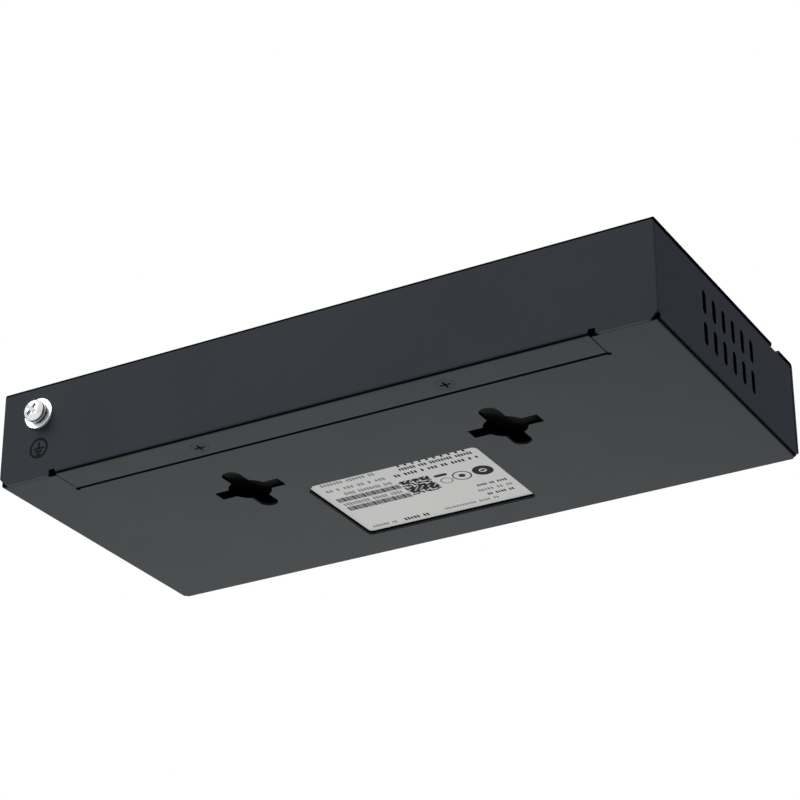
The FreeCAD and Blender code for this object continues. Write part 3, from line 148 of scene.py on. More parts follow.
class Graph:
    """The nodes of one material or world."""

    def __init__(self, tree: bpy.types.NodeTree) -> None:
        """Take over a node tree and empty it.

        Args:
            tree: the node tree of a material or world.
        """
        self.tree = tree
        tree.nodes.clear()

    def node(
        self,
        kind: str,
        settings: dict[str, object] | None = None,
        values: dict[int | str, Value] | None = None,
        output: int | str | None = 0,
    ) -> Signal | None:
        """Add a node with its settings first and its sockets after them.

        Args:
            kind: the node's type.
            settings: its own settings.
            values: a number, colour or signal for each input socket.
            output: the output socket that is wanted, or None from a node that has none.

        Returns:
            That output socket.
        """
        made = self.tree.nodes.new(kind)
        for name, setting in (settings or {}).items():
            setattr(made, name, setting)
        for key, value in (values or {}).items():
            self.feed(made.inputs[key], value)
        return None if output is None else Signal(self, made.outputs[output])

    def feed(self, socket: bpy.types.NodeSocket, value: Value) -> None:
        """Link a signal to an input socket, or set a plain value on it.

        Args:
            socket: the input socket.
            value: what it gets.
        """
        if isinstance(value, Signal):
            self.tree.links.new(value.socket, socket)
        elif isinstance(value, tuple) and socket.type == "RGBA":
            socket.default_value = (*value[:3], 1.0)
        else:
            socket.default_value = value

    def place(self, stretch: Point = (1.0, 1.0, 1.0)) -> Signal:
        """Return the object's own coordinates, in metres, each times its stretch."""
        own = self.node("ShaderNodeTexCoord", output="Object")
        return self.node("ShaderNodeVectorMath", {"operation": "MULTIPLY"}, {0: own, 1: stretch})

    def axis(self, name: str) -> Signal:
        """Return one of the object's own coordinates, X, Y or Z, in metres."""
        return self.node("ShaderNodeSeparateXYZ", None, {0: self.place()}, name)

    def noise(self, size: float, detail: float = 2.0, stretch: Point = (1.0, 1.0, 1.0)) -> Signal:
        """Add even noise.

        Args:
            size: the size of its clouds, in metres.
            detail: how many finer layers lie on them.
            stretch: how much closer the clouds lie along each axis.

        Returns:
            A value from 0 to 1.
        """
        values = {"Vector": self.place(stretch), "Scale": 1 / size, "Detail": detail}
        return self.node("ShaderNodeTexNoise", None, values)

    def ramp(self, value: Signal, low: float, high: float) -> Signal:
        """Return 0 where a value is under low, 1 where it is over high, and a slope between."""
        limits = {"Value": value, "From Min": low, "From Max": high}
        return self.node("ShaderNodeMapRange", {"clamp": True}, limits)

    def blend(self, share: Signal, low: Value, high: Value) -> Signal:
        """Mix two colours.

        Args:
            share: 0 for the first colour, 1 for the second.
            low: the first colour.
            high: the second colour.

        Returns:
            The mixed colour.
        """
        return self.node("ShaderNodeMix", {"data_type": "RGBA"}, {0: share, 6: low, 7: high}, 2)

    def show(self, surface: Signal, kind: str = "ShaderNodeOutputMaterial") -> None:
        """Lead a surface, or a world's background, to the output node of its kind."""
        self.node(kind, None, {"Surface": surface}, None)

    def bump(self, height: Signal, depth: float) -> Signal:
        """Turn a height into a normal.

        Args:
            height: the relief, from 0 to 1.
            depth: how high its highest point stands, in metres.

        Returns:
            The normal for a shader.
        """
        return self.node("ShaderNodeBump", None, {"Distance": depth, "Height": height})


def shade(colour: Colour, share: float) -> Colour:
    """Return a colour times a share, for its darker or lighter patches."""
    return tuple(channel * share for channel in colour)


STREAK_DETAIL = 3.0


@dataclass(frozen=True)
class Finish:
    """An evenly made surface with soft clouds of tone and a fine grain."""

    name: str
    colour: Colour
    roughness: float
    metallic: float = 0.0
    specular: float = 0.5
    grain: float = 0.4 * MM
    depth: float = 0.01 * MM
    unevenness: float = 0.08
    cloud_grains: float = 60.0
    patch_grains: float = 12.0

    def mottle(self, graph: Graph, share: Signal) -> Signal:
        """Return the colour, from its darker tone where the share is 0 to its lighter one where it is 1."""
        darker = shade(self.colour, 1 - self.unevenness)
        return graph.blend(share, darker, shade(self.colour, 1 + self.unevenness))

    def tint(self, graph: Graph) -> Signal:
        """Return the surface's colour: clouds of a lighter and a darker tone."""
        return self.mottle(graph, graph.noise(self.cloud_grains * self.grain))

    def gloss(self, graph: Graph) -> Signal:
        """Return the surface's roughness, which varies a little over its grain."""
        patches = graph.noise(self.patch_grains * self.grain)
        return patches * self.unevenness + (self.roughness - self.unevenness / 2)

    def relief(self, graph: Graph) -> Signal:
        """Return the height of the surface's grain, from 0 to 1."""
        return graph.noise(self.grain)

    def special(self) -> dict[str, float]:
        """Return settings of the shader that only some finishes have."""
        return {}

    def surface(self, graph: Graph) -> Signal:
        """Build the shader.

        Args:
            graph: the material's graph.

        Returns:
            The shader.
        """
        values = {
            "Base Color": self.tint(graph),
            "Roughness": self.gloss(graph),
            "Metallic": self.metallic,
            "Specular IOR Level": self.specular,
            "Normal": graph.bump(self.relief(graph), self.depth),
            **self.special(),
        }
        return graph.node("ShaderNodeBsdfPrincipled", None, values)

    def material(self) -> bpy.types.Material:
        """Build the material.

        Returns:
            A material that reads the object's own coordinates.
        """
        material = bpy.data.materials.new(self.name)
        material.use_nodes = True
        graph = Graph(material.node_tree)
        graph.show(self.surface(graph))
        return material


@dataclass(frozen=True)
class PowderCoat(Finish):
    """Dark satin powder paint: a fine orange peel, and motes of a lighter grain."""

    peel: float = 1.4 * MM
    peel_share: float = 0.7
    mote_grains: float = 1.5
    mote_limits: tuple[float, float] = (0.56, 0.75)
    mote_cover: float = 0.35
    mote_shade: float = 1.6

    def tint(self, graph: Graph) -> Signal:
        """Lay fine motes on slow clouds of tone.

        Args:
            graph: the material's graph.

        Returns:
            The paint's colour.
        """
        base = super().tint(graph)
        motes = graph.ramp(graph.noise(self.mote_grains * self.grain), *self.mote_limits)
        return graph.blend(motes * self.mote_cover, base, shade(self.colour, self.mote_shade))

    def relief(self, graph: Graph) -> Signal:
        """Return the paint's peel with its finer grain."""
        peel = graph.noise(self.peel) * self.peel_share
        return peel + graph.noise(self.grain) * (1 - self.peel_share)


def span(low: float = -math.inf, high: float = math.inf) -> tuple[float, float]:
    """Return limits given in millimetres, in metres; one that is left out doesn't hold."""
    return (low * MM, high * MM)


@dataclass(frozen=True)
class Zone:
    """A box of the case, given by its limits along each axis and mirrored about the YZ plane."""

    x: tuple[float, float] = span()
    y: tuple[float, float] = span()
    z: tuple[float, float] = span()
    blur: float = 0.06 * MM

    def mask(self, graph: Graph) -> Signal:
        """Mark the zone.

        Args:
            graph: the material's graph.

        Returns:
            1 inside the zone and 0 outside it, with a soft edge.
        """
        inside: Signal | float = 1.0
        places = (abs(graph.axis("X")), graph.axis("Y"), graph.axis("Z"))
        for place, (low, high) in zip(places, (self.x, self.y, self.z)):
            if low > -math.inf:
                inside = inside * graph.ramp(place, low - self.blur, low + self.blur)
            if high < math.inf:
                inside = inside * graph.ramp(place, high + self.blur, high - self.blur)
        return inside


@dataclass(frozen=True)
class CasePaint(PowderCoat):
    """The case's powder coat, with painted shade: a plain dark diffuse in seams, in recesses, on cut edges
    and along tight folds.
    """

    # Share of the paint's colour that the painted shade in the zones keeps.
    bare: float = 0.08
    # Zones of painted shade, where the paint gives way to a plain dark diffuse.
    zones: tuple[Zone, ...] = (
        # Upper part of the label recess
        Zone(x=span(high=98.3), y=span(-56.0, -6.0), z=span(0.65, 1.32)),
        # Edges of the hanging cut-outs, and the gaps round the cover's strip
        Zone(x=span(high=98.3), y=span(-6.0, 34.1), z=span(0.12, 1.32)),
        # Seam along the strip's front edge
        Zone(x=span(high=81.0), y=span(23.6, 24.8), z=span(high=0.3), blur=0.1 * MM),
        # Notches at the ends of the strip's fold
        Zone(x=span(81.1, 83.7), y=span(34.0, 35.36), z=span(high=2.6), blur=0.03 * MM),
        # The strip's fold
        Zone(x=span(high=81.3), y=span(34.75), z=span(high=0.62), blur=0.1 * MM),
        # Lower folds of the end walls
        Zone(x=span(99.3), z=span(high=0.75), blur=0.22 * MM),
        # Walls of the vents
        Zone(x=span(99.06, 99.9), y=span(-50.0, 33.0), z=span(2.0, 27.7), blur=0.02 * MM),
        # The cover's cut edges over the end walls
        Zone(x=span(99.9), z=span(27.65), blur=0.02 * MM),
        # Fold between the top and the rear wall
        Zone(y=span(34.3), z=span(27.9, 28.88)),
        # Notches at the lower rear corners
        Zone(x=span(97.4), y=span(33.3, 34.32), z=span(0.3, 1.9)),
    )

    def surface(self, graph: Graph) -> Signal:
        """Build the paint's shader, with a plain dark diffuse one in the zones as painted shade.

        Args:
            graph: the material's graph.

        Returns:
            The shader.
        """
        dark = self.zones[0].mask(graph)
        for zone in self.zones[1:]:
            dark = dark | zone.mask(graph)
        # Painted shade: a dark diffuse in place of the paint inside the zones.
        gap = graph.node("ShaderNodeBsdfDiffuse", None, {"Color": shade(self.colour, self.bare)})
        return graph.node("ShaderNodeMixShader", None, {0: dark, 1: super().surface(graph), 2: gap})


@dataclass(frozen=True)
class RolledSteel(Finish):
    """Bare or plated sheet, with the fine lines that rolling leaves along X."""

    lines: float = 0.15 * MM
    stretch: Point = (0.02, 1.0, 1.0)

    def drawn(self, graph: Graph) -> Signal:
        """Return the rolling lines, from 0 to 1."""
        return graph.noise(self.lines, STREAK_DETAIL, self.stretch)

    def tint(self, graph: Graph) -> Signal:
        """Return the metal's colour, a little darker in its lines."""
        return graph.blend(self.drawn(graph), shade(self.colour, 1 - self.unevenness), self.colour)

    def relief(self, graph: Graph) -> Signal:
        """Return the rolling lines as relief."""
        return self.drawn(graph)


@dataclass(frozen=True)
class PlatedSteel(Finish):
    """Turned and plated fasteners: smooth, with soft stains in the plating."""

    stain_grains: float = 8.0
    stain_detail: float = 4.0
    stain_limits: tuple[float, float] = (0.45, 0.7)
    stain_depth: float = 3.0

    def tint(self, graph: Graph) -> Signal:
        """Lay soft stains on the plating.

        Args:
            graph: the material's graph.

        Returns:
            The plating's colour.
        """
        clouds = graph.noise(self.stain_grains * self.grain, self.stain_detail)
        stained = shade(self.colour, 1 - self.stain_depth * self.unevenness)
        return graph.blend(graph.ramp(clouds, *self.stain_limits), self.colour, stained)


@dataclass(frozen=True)
class LabelFilm(Finish):
    """Silvered polyester film: brushed along X, under a thin clear layer."""

    brush: float = 0.12 * MM
    stretch: Point = (0.03, 1.0, 1.0)

    def tint(self, graph: Graph) -> Signal:
        """Return the silver with its brushed streaks."""
        return self.mottle(graph, graph.noise(self.brush, STREAK_DETAIL, self.stretch))


@dataclass(frozen=True)
class BoardLaminate(Finish):
    """Green circuit board: copper tracks under the solder mask, and the weave of the glass cloth."""

    cell: float = 9.0 * MM
    copper: Colour = (0.02, 0.2, 0.07)
    thread: float = 0.2
    weave_limits: tuple[float, float] = (0.1, 0.5)
    weave_shade: float = 1.3
    track_height: float = 0.6
    cloth_height: float = 0.2

    def tracks(self, graph: Graph) -> Signal:
        """Return 1 on the tracks, and 0 on the bare mask between them."""
        values = {"Vector": graph.place(), "Scale": 1 / self.cell, "Mortar Size": 0.018, "Brick Width": 0.8}
        return graph.node("ShaderNodeTexBrick", {"offset": 0.37, "squash": 0.6}, values, "Fac")

    def tint(self, graph: Graph) -> Signal:
        """Lay copper tracks over the woven green of the mask.

        Args:
            graph: the material's graph.

        Returns:
            The board's colour.
        """
        warp = graph.noise(self.grain, stretch=(1.0, self.thread, 1.0))
        weft = graph.noise(self.grain, stretch=(self.thread, 1.0, 1.0))
        weave = graph.ramp(warp * weft, *self.weave_limits)
        mask = graph.blend(weave, self.colour, shade(self.colour, self.weave_shade))
        return graph.blend(self.tracks(graph), mask, self.copper)

    def relief(self, graph: Graph) -> Signal:
        """Return the tracks' small step over the weave."""
        return self.tracks(graph) * self.track_height + graph.noise(self.grain) * self.cloth_height


@dataclass(frozen=True)
class Sleeved(Finish):
    """A capacitor's can: a printed sleeve below, and bare scored aluminium above it."""

    sleeve: Colour = (0.012, 0.012, 0.02)
    rim: float = 19.0 * MM
    blur: float = 0.05 * MM

    def tint(self, graph: Graph) -> Signal:
        """Return the sleeve's colour up to the rim, and the can's above it."""
        bare = graph.ramp(graph.axis("Z"), self.rim - self.blur, self.rim + self.blur)
        return graph.blend(bare, self.sleeve, super().tint(graph))


@dataclass(frozen=True)
class Clear(Finish):
    """Clear moulded plastic that pipes a lamp's light."""

    def special(self) -> dict[str, float]:
        """Return the share of light that goes through."""
        return {"Transmission Weight": 0.7, "IOR": 1.49}


@dataclass(frozen=True)
class Ink(Finish):
    """Printed ink, thinner in fine spots."""

    paper: Colour = (0.5, 0.5, 0.49)
    cover: float = 1.0
    thin_limits: tuple[float, float] = (0.5, 0.85)

    def tint(self, graph: Graph) -> Signal:
        """Return the ink, with what lies under it showing through where it is thin."""
        thin = graph.ramp(graph.noise(self.grain), *self.thin_limits) * (1 - self.cover)
        return graph.blend(thin + (1 - self.cover) / 2, self.colour, self.paper)


PAINT = (0.0455, 0.048, 0.0505)
FINISHES: dict[Slot, Finish] = {
    Slot.CASE_PAINT: CasePaint("case_paint", PAINT, 0.75, specular=0.025, depth=0.02 * MM),
    Slot.BRIGHT_STEEL: PlatedSteel(
        "bright_steel", (0.9, 0.9, 0.9), 0.5, metallic=1.0, grain=0.2 * MM, unevenness=0.04
    ),
    # The screws' paint keeps the case paint's zones of painted shade, which darken their cross recesses.
    Slot.DARK_STEEL: CasePaint("dark_steel", shade(PAINT, 0.92), 0.75, specular=0.02, grain=0.2 * MM),
    Slot.ZINC_STEEL: PlatedSteel("zinc_steel", (0.62, 0.62, 0.58), 0.3, metallic=1.0, grain=0.2 * MM),
    Slot.SHELL_STEEL: RolledSteel(
        "shell_steel", (0.38, 0.377, 0.368), 0.34, metallic=1.0, unevenness=0.16
    ),
    Slot.LABEL_FILM: LabelFilm("label_film", (0.373, 0.372, 0.368), 0.45, specular=0.12, unevenness=0.05),
    Slot.BOARD_LAMINATE: BoardLaminate("board_laminate", (0.008, 0.09, 0.03), 0.35, grain=0.3 * MM),
    Slot.BLACK_FILM: Finish("black_film", (0.012, 0.012, 0.013), 0.35, grain=0.5 * MM),
    Slot.BLACK_PLASTIC: Finish("black_plastic", (0.014, 0.014, 0.015), 0.45, grain=0.25 * MM),
    Slot.SPRING_GOLD: RolledSteel("spring_gold", (0.9, 0.6, 0.22), 0.2, metallic=1.0),
    Slot.LAMP_CLEAR: Clear("lamp_clear", (0.75, 0.8, 0.76), 0.15, grain=0.5 * MM, unevenness=0.04),
    Slot.EPOXY_BLACK: Finish("epoxy_black", (0.02, 0.02, 0.021), 0.5, grain=0.2 * MM, depth=0.02 * MM),
    Slot.PAD_GREY: Finish("pad_grey", (0.3, 0.32, 0.34), 0.7, grain=0.5 * MM),
    Slot.SINK_BLACK: RolledSteel("sink_black", (0.02, 0.02, 0.022), 0.4, specular=0.6),
    Slot.CAN_ALUMINIUM: Sleeved("can_aluminium", (0.7, 0.7, 0.72), 0.3, metallic=0.2, grain=0.5 * MM),
    Slot.FERRITE_GREY: Finish("ferrite_grey", (0.06, 0.06, 0.065), 0.65, grain=0.5 * MM, depth=0.03 * MM),
}


class Workbench:
    """Everyday modelling steps, each on freshly selected parts of one mesh."""

    @staticmethod
    def deselect() -> None:
        """Deselect every object, the CAD nodes among them."""
        bpy.ops.object.select_all(action="DESELECT")

    @staticmethod
    def pick(*objects: bpy.types.Object) -> None:
        """Select these objects alone.

        Args:
            objects: the objects, the first of which becomes active.
        """
        Workbench.deselect()
        for item in objects:
            item.select_set(True)
        bpy.context.view_layer.objects.active = objects[0]

    @staticmethod
    def name(name: str) -> bpy.types.Object:
        """Name the object that was just added, and its mesh.

        Args:
            name: the name.

        Returns:
            The object.
        """
        item = bpy.context.active_object
        item.name = name
        item.data.name = name
        return item

    @staticmethod
    def join(name: str, parts: list[bpy.types.Object]) -> bpy.types.Object:
        """Join parts into one object.

        Args:
            name: the joined object's name.
            parts: objects that sit at the origin with their place in their meshes.

        Returns:
            The joined object.
        """
        Workbench.pick(*parts)
        bpy.ops.object.join()
        return Workbench.name(name)

    @staticmethod
    def outward(item: bpy.types.Object) -> None:
        """Weld a closed mesh and turn its faces outwards.

        Args:
            item: the piece.
        """
        Workbench.pick(item)
        bpy.ops.object.mode_set(mode="EDIT")
        bpy.ops.mesh.select_all(action="SELECT")
        bpy.ops.mesh.remove_doubles(threshold=WELD)
        bpy.ops.mesh.normals_make_consistent(inside=False)
        bpy.ops.object.mode_set(mode="OBJECT")

    @staticmethod
    def copy(item: bpy.types.Object, move: Matrix) -> bpy.types.Object:
        """Copy a piece with its own mesh, moved in the mesh.

        Args:
            item: the piece to copy.
            move: where the copy goes from there.

        Returns:
            The copy.
        """
        twin = item.copy()
        twin.data = item.data.copy()
        twin.data.transform(move)
        bpy.context.scene.collection.objects.link(twin)
        return twin

    @staticmethod
    def raise_rings(name: str, rings: list[tuple[float, float]], sides: int = 56) -> bpy.types.Object:
        """Draw a disc up the Z axis through the rings of a round profile.

        Args:
            name: the piece's name.
            rings: the radius and height of each ring, in metres, from the bottom up.
            sides: how many sides the rings have.

        Returns:
            A closed piece.
        """
        Workbench.deselect()
        radius, height = rings[0]
        bpy.ops.mesh.primitive_circle_add(vertices=sides, radius=radius, fill_type="NGON")
        piece = Workbench.name(name)
        piece.data.transform(Matrix.Translation((0, 0, height)))
        bpy.ops.object.mode_set(mode="EDIT")
        bpy.ops.mesh.select_mode(type="FACE")
        bpy.ops.mesh.select_all(action="SELECT")
        for wide, high in rings[1:]:
            bpy.ops.mesh.extrude_region_move(TRANSFORM_OT_translate={"value": (0, 0, high - height)})
            bpy.ops.transform.resize(value=(wide / radius, wide / radius, 1.0), center_override=(0, 0, high))
            radius, height = wide, high
        bpy.ops.object.mode_set(mode="OBJECT")
        Workbench.outward(piece)
        return piece

    @staticmethod
    def cut(item: bpy.types.Object, tool: bpy.types.Object) -> None:
        """Cut a closed tool out of a closed piece.

        Args:
            item: the piece.
            tool: the tool, which stays as it is.
        """
        Workbench.pick(item)
        bpy.ops.object.modifier_add(type="BOOLEAN")
        step = item.modifiers[-1]
        step.operation = "DIFFERENCE"
        step.solver = "EXACT"
        step.object = tool
        bpy.ops.object.modifier_apply(modifier=step.name)

    @staticmethod
    def smooth(item: bpy.types.Object, angle: float = 35.0) -> None:
        """Shade a piece smooth over edges flatter than an angle in degrees."""
        Workbench.pick(item)
        bpy.ops.object.shade_smooth_by_angle(angle=math.radians(angle))

    @staticmethod
    def drop(*items: bpy.types.Object) -> None:
        """Delete patterns that were only there to be copied."""
        for item in items:
            bpy.data.objects.remove(item)

    @staticmethod
    def finish(item: bpy.types.Object, slot: Slot, finish: Finish, *replaced: str) -> None:
        """Give a new piece its finish and its body, and report it.

        Args:
            item: the piece.
            slot: the record's material slot that it belongs to; not used.
            finish: its finish.
            replaced: CAD nodes that it stands for.
        """
        item.data.materials.clear()
        item.data.materials.append(finish.material())
        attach(item, "root")
        if replaced:
            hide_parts(*replaced)
        log.info("%s: %d faces", item.name, len(item.data.polygons))


@dataclass(frozen=True)
class Plane:
    """A flat place on the case that marks are set on, as its reader sees it."""

    origin: Point
    across: Point
    up: Point

    def matrix(self) -> Matrix:
        """Find the move from a flat drawing, seen along -Z, to this place.

        Returns:
            The move.
        """
        across, up = Vector(self.across), Vector(self.up)
        turned = Matrix((across, up, across.cross(up))).transposed().to_4x4()
        return Matrix.Translation(self.origin) @ turned


class Pattern(Enum):
    """The shapes that printed marks are made of."""

    BLOCK = "block"
    RING = "ring"
    BOLD_RING = "bold_ring"
    BAND = "band"
    DISC = "disc"


class Stamps:
    """Thin raised marks of ink, each modelled once at unit size and copied where it is needed."""

    CORNER_CUT = 0.16
    ROUND_SIDES = 40
    RING_WIDTHS = {Pattern.RING: 0.07, Pattern.BOLD_RING: 0.12, Pattern.BAND: 0.31}

    def __init__(self, plane: Plane, thickness: float) -> None:
        """Model the patterns.

        Args:
            plane: where the marks go.
            thickness: how far the ink stands out of the plane.
        """
        self.plane = plane
        self.thickness = thickness
        self.patterns = {Pattern.BLOCK: self._block(), Pattern.DISC: self._disc()}
        for pattern, width in self.RING_WIDTHS.items():
            self.patterns[pattern] = self._ring(pattern, width)
        self.marks: list[bpy.types.Object] = []

    def _raise(self) -> None:
        """Extrude the selected flat faces into a mark of unit height."""
        bpy.ops.mesh.extrude_region_move(TRANSFORM_OT_translate={"value": (0, 0, 1.0)})
        bpy.ops.object.mode_set(mode="OBJECT")

    def _block(self) -> bpy.types.Object:
        """Model a block one unit wide and high, with cut corners.

        Returns:
            The block.
        """
        Workbench.deselect()
        bpy.ops.mesh.primitive_plane_add(size=1.0)
        block = Workbench.name("ink_block")
        bpy.ops.object.mode_set(mode="EDIT")
        bpy.ops.mesh.select_all(action="SELECT")
        bpy.ops.mesh.bevel(offset=self.CORNER_CUT, segments=1, affect="VERTICES")
        bpy.ops.mesh.select_all(action="SELECT")
        self._raise()
        Workbench.outward(block)
        return block

    def _circle(self, pattern: Pattern) -> bpy.types.Object:
        """Draw a filled circle one unit across.

        Args:
            pattern: the pattern that it is drawn for.

        Returns:
            The circle, in edit mode with all of it selected.
        """
        Workbench.deselect()
        bpy.ops.mesh.primitive_circle_add(vertices=self.ROUND_SIDES, radius=0.5, fill_type="NGON")
        circle = Workbench.name(f"ink_{pattern.value}")
        bpy.ops.object.mode_set(mode="EDIT")
        bpy.ops.mesh.select_mode(type="FACE")
        bpy.ops.mesh.select_all(action="SELECT")
        return circle

    def _ring(self, pattern: Pattern, width: float) -> bpy.types.Object:
        """Model a ring one unit across.

        Args:
            pattern: the ring's pattern.
            width: the width of its line, as a share of the ring.

        Returns:
            The ring.
        """
        ring = self._circle(pattern)
        bpy.ops.mesh.inset(thickness=width)
        bpy.ops.mesh.delete(type="FACE")
        bpy.ops.mesh.select_all(action="SELECT")
        self._raise()
        Workbench.outward(ring)
        return ring

    def _disc(self) -> bpy.types.Object:
        """Model a disc one unit across.

        Returns:
            The disc.
        """
        disc = self._circle(Pattern.DISC)
        self._raise()
        Workbench.outward(disc)
        return disc

    def put(self, pattern: Pattern, x: float, y: float, width: float, height: float) -> None:
        """Set a mark on the plane, with its lowest third sunk into it.

        Args:
            pattern: the mark's pattern.
            x: its middle along the plane's across axis, in metres.
            y: its middle along the plane's up axis.
            width: its width.
            height: its height.
        """
        sunk = Matrix.Translation((x, y, -0.5 * self.thickness))
        size = Matrix.Diagonal((width, height, 1.5 * self.thickness, 1.0))
        self.marks.append(Workbench.copy(self.patterns[pattern], self.plane.matrix() @ sunk @ size))

    def gather(self, name: str) -> bpy.types.Object:
        """Join the marks set so far into one piece and start anew.

        Args:
            name: the piece's name.

        Returns:
            The piece.
        """
        piece = Workbench.join(name, self.marks)
        self.marks = []
        return piece

    def clear(self) -> None:
        """Delete the patterns."""
        Workbench.drop(*self.patterns.values())


@dataclass(frozen=True)
class Line:
    """A printed line that stands in for a line of words: blocks in groups.

    It runs from start to end, counted from the label's left edge, and lies at drop below its upper
    edge, in millimetres. The pitch of its blocks is a share of their height.
    """

    start: float
    end: float
    drop: float
    height: float
    tone: Tone = Tone.FULL
    groups: tuple[int, ...] = (5, 3, 7, 4)
    pitch: float = 0.6


@dataclass(frozen=True)
class Bars:
    """A printed field of upright bars of five widths in turn, in millimetres."""

    start: float
    end: float
    drop: float
    height: float
    widths: tuple[float, ...] = (0.5, 0.3, 0.35, 0.75, 0.3)
    gap: float = 0.2


@dataclass(frozen=True)
class Mark:
    """A single printed mark, by its middle and its size in millimetres."""

    pattern: Pattern
    x: float
    y: float
    width: float
    height: float


@dataclass(frozen=True)
class RatingLabel:
    """The silver label in its pressed place under the case, with print that says nothing."""

    ink_thickness: float = 0.015 * MM
    ink: Ink = Ink("label_ink", (0.02, 0.02, 0.022), 0.7, specular=0.02, grain=0.15 * MM)
    faint_ink: Ink = Ink("label_faint_ink", (0.1, 0.1, 0.1), 0.7, specular=0.02, grain=0.15 * MM, cover=0.8)
    lines: tuple[Line, ...] = (
        Line(3.0, 20.8, 3.1, 1.7, Tone.FAINT, (7, 6, 5)),
        Line(27.9, 50.8, 2.0, 1.5, groups=(1,), pitch=0.75),
        Line(27.4, 50.8, 4.3, 1.6, groups=(6, 3, 8), pitch=0.55),
        Line(2.5, 22.6, 7.1, 1.6, Tone.FAINT, (2, 1, 3), 0.7),
        Line(24.2, 50.9, 7.4, 1.6, groups=(2, 4, 1, 3), pitch=0.66),
        Line(6.4, 22.3, 10.6, 1.8, Tone.FAINT, (4, 8), 0.5),
        Line(2.5, 22.3, 17.0, 1.9, Tone.FAINT, (9, 5), 0.5),
        Line(41.4, 51.0, 24.0, 1.3, groups=(4, 2)),
        Line(40.0, 51.0, 27.3, 1.4, Tone.FAINT, (5, 2), 0.7),
        Line(41.4, 50.8, 30.4, 1.4, groups=(2, 4)),
        Line(2.2, 10.7, 34.0, 1.5, Tone.FAINT, (6,)),
        Line(12.6, 20.8, 34.0, 1.7, groups=(5,), pitch=0.6),
        Line(26.2, 43.5, 33.4, 1.3, Tone.FAINT, (11, 4), 0.7),
    )
    block_share: float = 0.66
    low_every: int = 3
    low_share: float = 0.8
    fields: tuple[Bars, ...] = (Bars(2.4, 22.3, 13.8, 2.7), Bars(2.4, 22.3, 20.0, 2.8))
    square: tuple[float, float, float] = (27.8, 16.0, 9.4)
    squares: int = 17
    overlap: float = 1.12
    marks: tuple[Mark, ...] = (
        Mark(Pattern.BAND, 47.6, 15.8, 6.0, 6.0),
        Mark(Pattern.BLOCK, 47.6, 15.8, 1.44, 0.96),
        Mark(Pattern.RING, 41.0, 16.0, 5.6, 5.6),
        Mark(Pattern.DISC, 41.0, 16.0, 2.016, 2.016),
        Mark(Pattern.BLOCK, 35.8, 13.0, 4.0, 1.4),
        Mark(Pattern.RING, 35.8, 16.8, 3.6, 3.6),
    )

    def build(self) -> None:
        """Set the print on the label's face in two strengths of ink."""
        low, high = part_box("rating_label")
        corner = (high.x, high.y, low.z)
        stamps = Stamps(Plane(corner, (-1, 0, 0), (0, 1, 0)), self.ink_thickness)
        self.print_lines(stamps, Tone.FAINT)
        faint = stamps.gather("label_faint_print")
        self.print_lines(stamps, Tone.FULL)
        for bars in self.fields:
            self.print_bars(stamps, bars)
        self.print_square(stamps)
        for mark in self.marks:
            self.put(stamps, mark)
        full = stamps.gather("label_print")
        stamps.clear()
        Workbench.finish(faint, Slot.LABEL_FILM, self.faint_ink)
        Workbench.finish(full, Slot.LABEL_FILM, self.ink)

    def put(self, stamps: Stamps, mark: Mark) -> None:
        """Set a mark by its place to the right of the label's upper left corner and below it."""
        stamps.put(mark.pattern, mark.x * MM, -mark.y * MM, mark.width * MM, mark.height * MM)

    def print_lines(self, stamps: Stamps, tone: Tone) -> None:
        """Set the lines of one tone, each a row of blocks with a space after each group.

        Args:
            stamps: the marks' patterns.
            tone: which lines are set.
        """
        for line in self.lines:
            if line.tone is not tone:
                continue
            pitch = line.pitch * line.height
            width = self.block_share * pitch
            place, group, left = line.start + pitch / 2, 0, line.groups[0]
            while place + pitch / 2 < line.end:
                if left:
                    tall = line.height * (1.0 if left % self.low_every else self.low_share)
                    self.put(stamps, Mark(Pattern.BLOCK, place, line.drop, width, tall))
                    left -= 1
                else:
                    group = (group + 1) % len(line.groups)
                    left = line.groups[group]
                place += pitch

    def print_bars(self, stamps: Stamps, bars: Bars) -> None:
        """Set a field of upright bars.

        Args:
            stamps: the marks' patterns.
            bars: the field.
        """
        place, count = bars.start, 0
        while place < bars.end:
            width = bars.widths[count % len(bars.widths)]
            self.put(stamps, Mark(Pattern.BLOCK, place + width / 2, bars.drop, width, bars.height))
            place += width + bars.gap
            count += 1

    def print_square(self, stamps: Stamps) -> None:
        """Set a square field of small squares, with gaps where a rule of rows and columns leaves them.

        Args:
            stamps: the marks' patterns.
        """
        x, y, side = self.square
        cell = side / self.squares
        size = self.overlap * cell
        for row in range(self.squares):
            for column in range(self.squares):
                if (row * row + 3 * row * column + 7 * column * column + 5 * row) % 11 < 4:
                    continue
                left = x + (column - self.squares / 2 + 0.5) * cell
                down = y + (row - self.squares / 2 + 0.5) * cell
                self.put(stamps, Mark(Pattern.BLOCK, left, down, size, size))


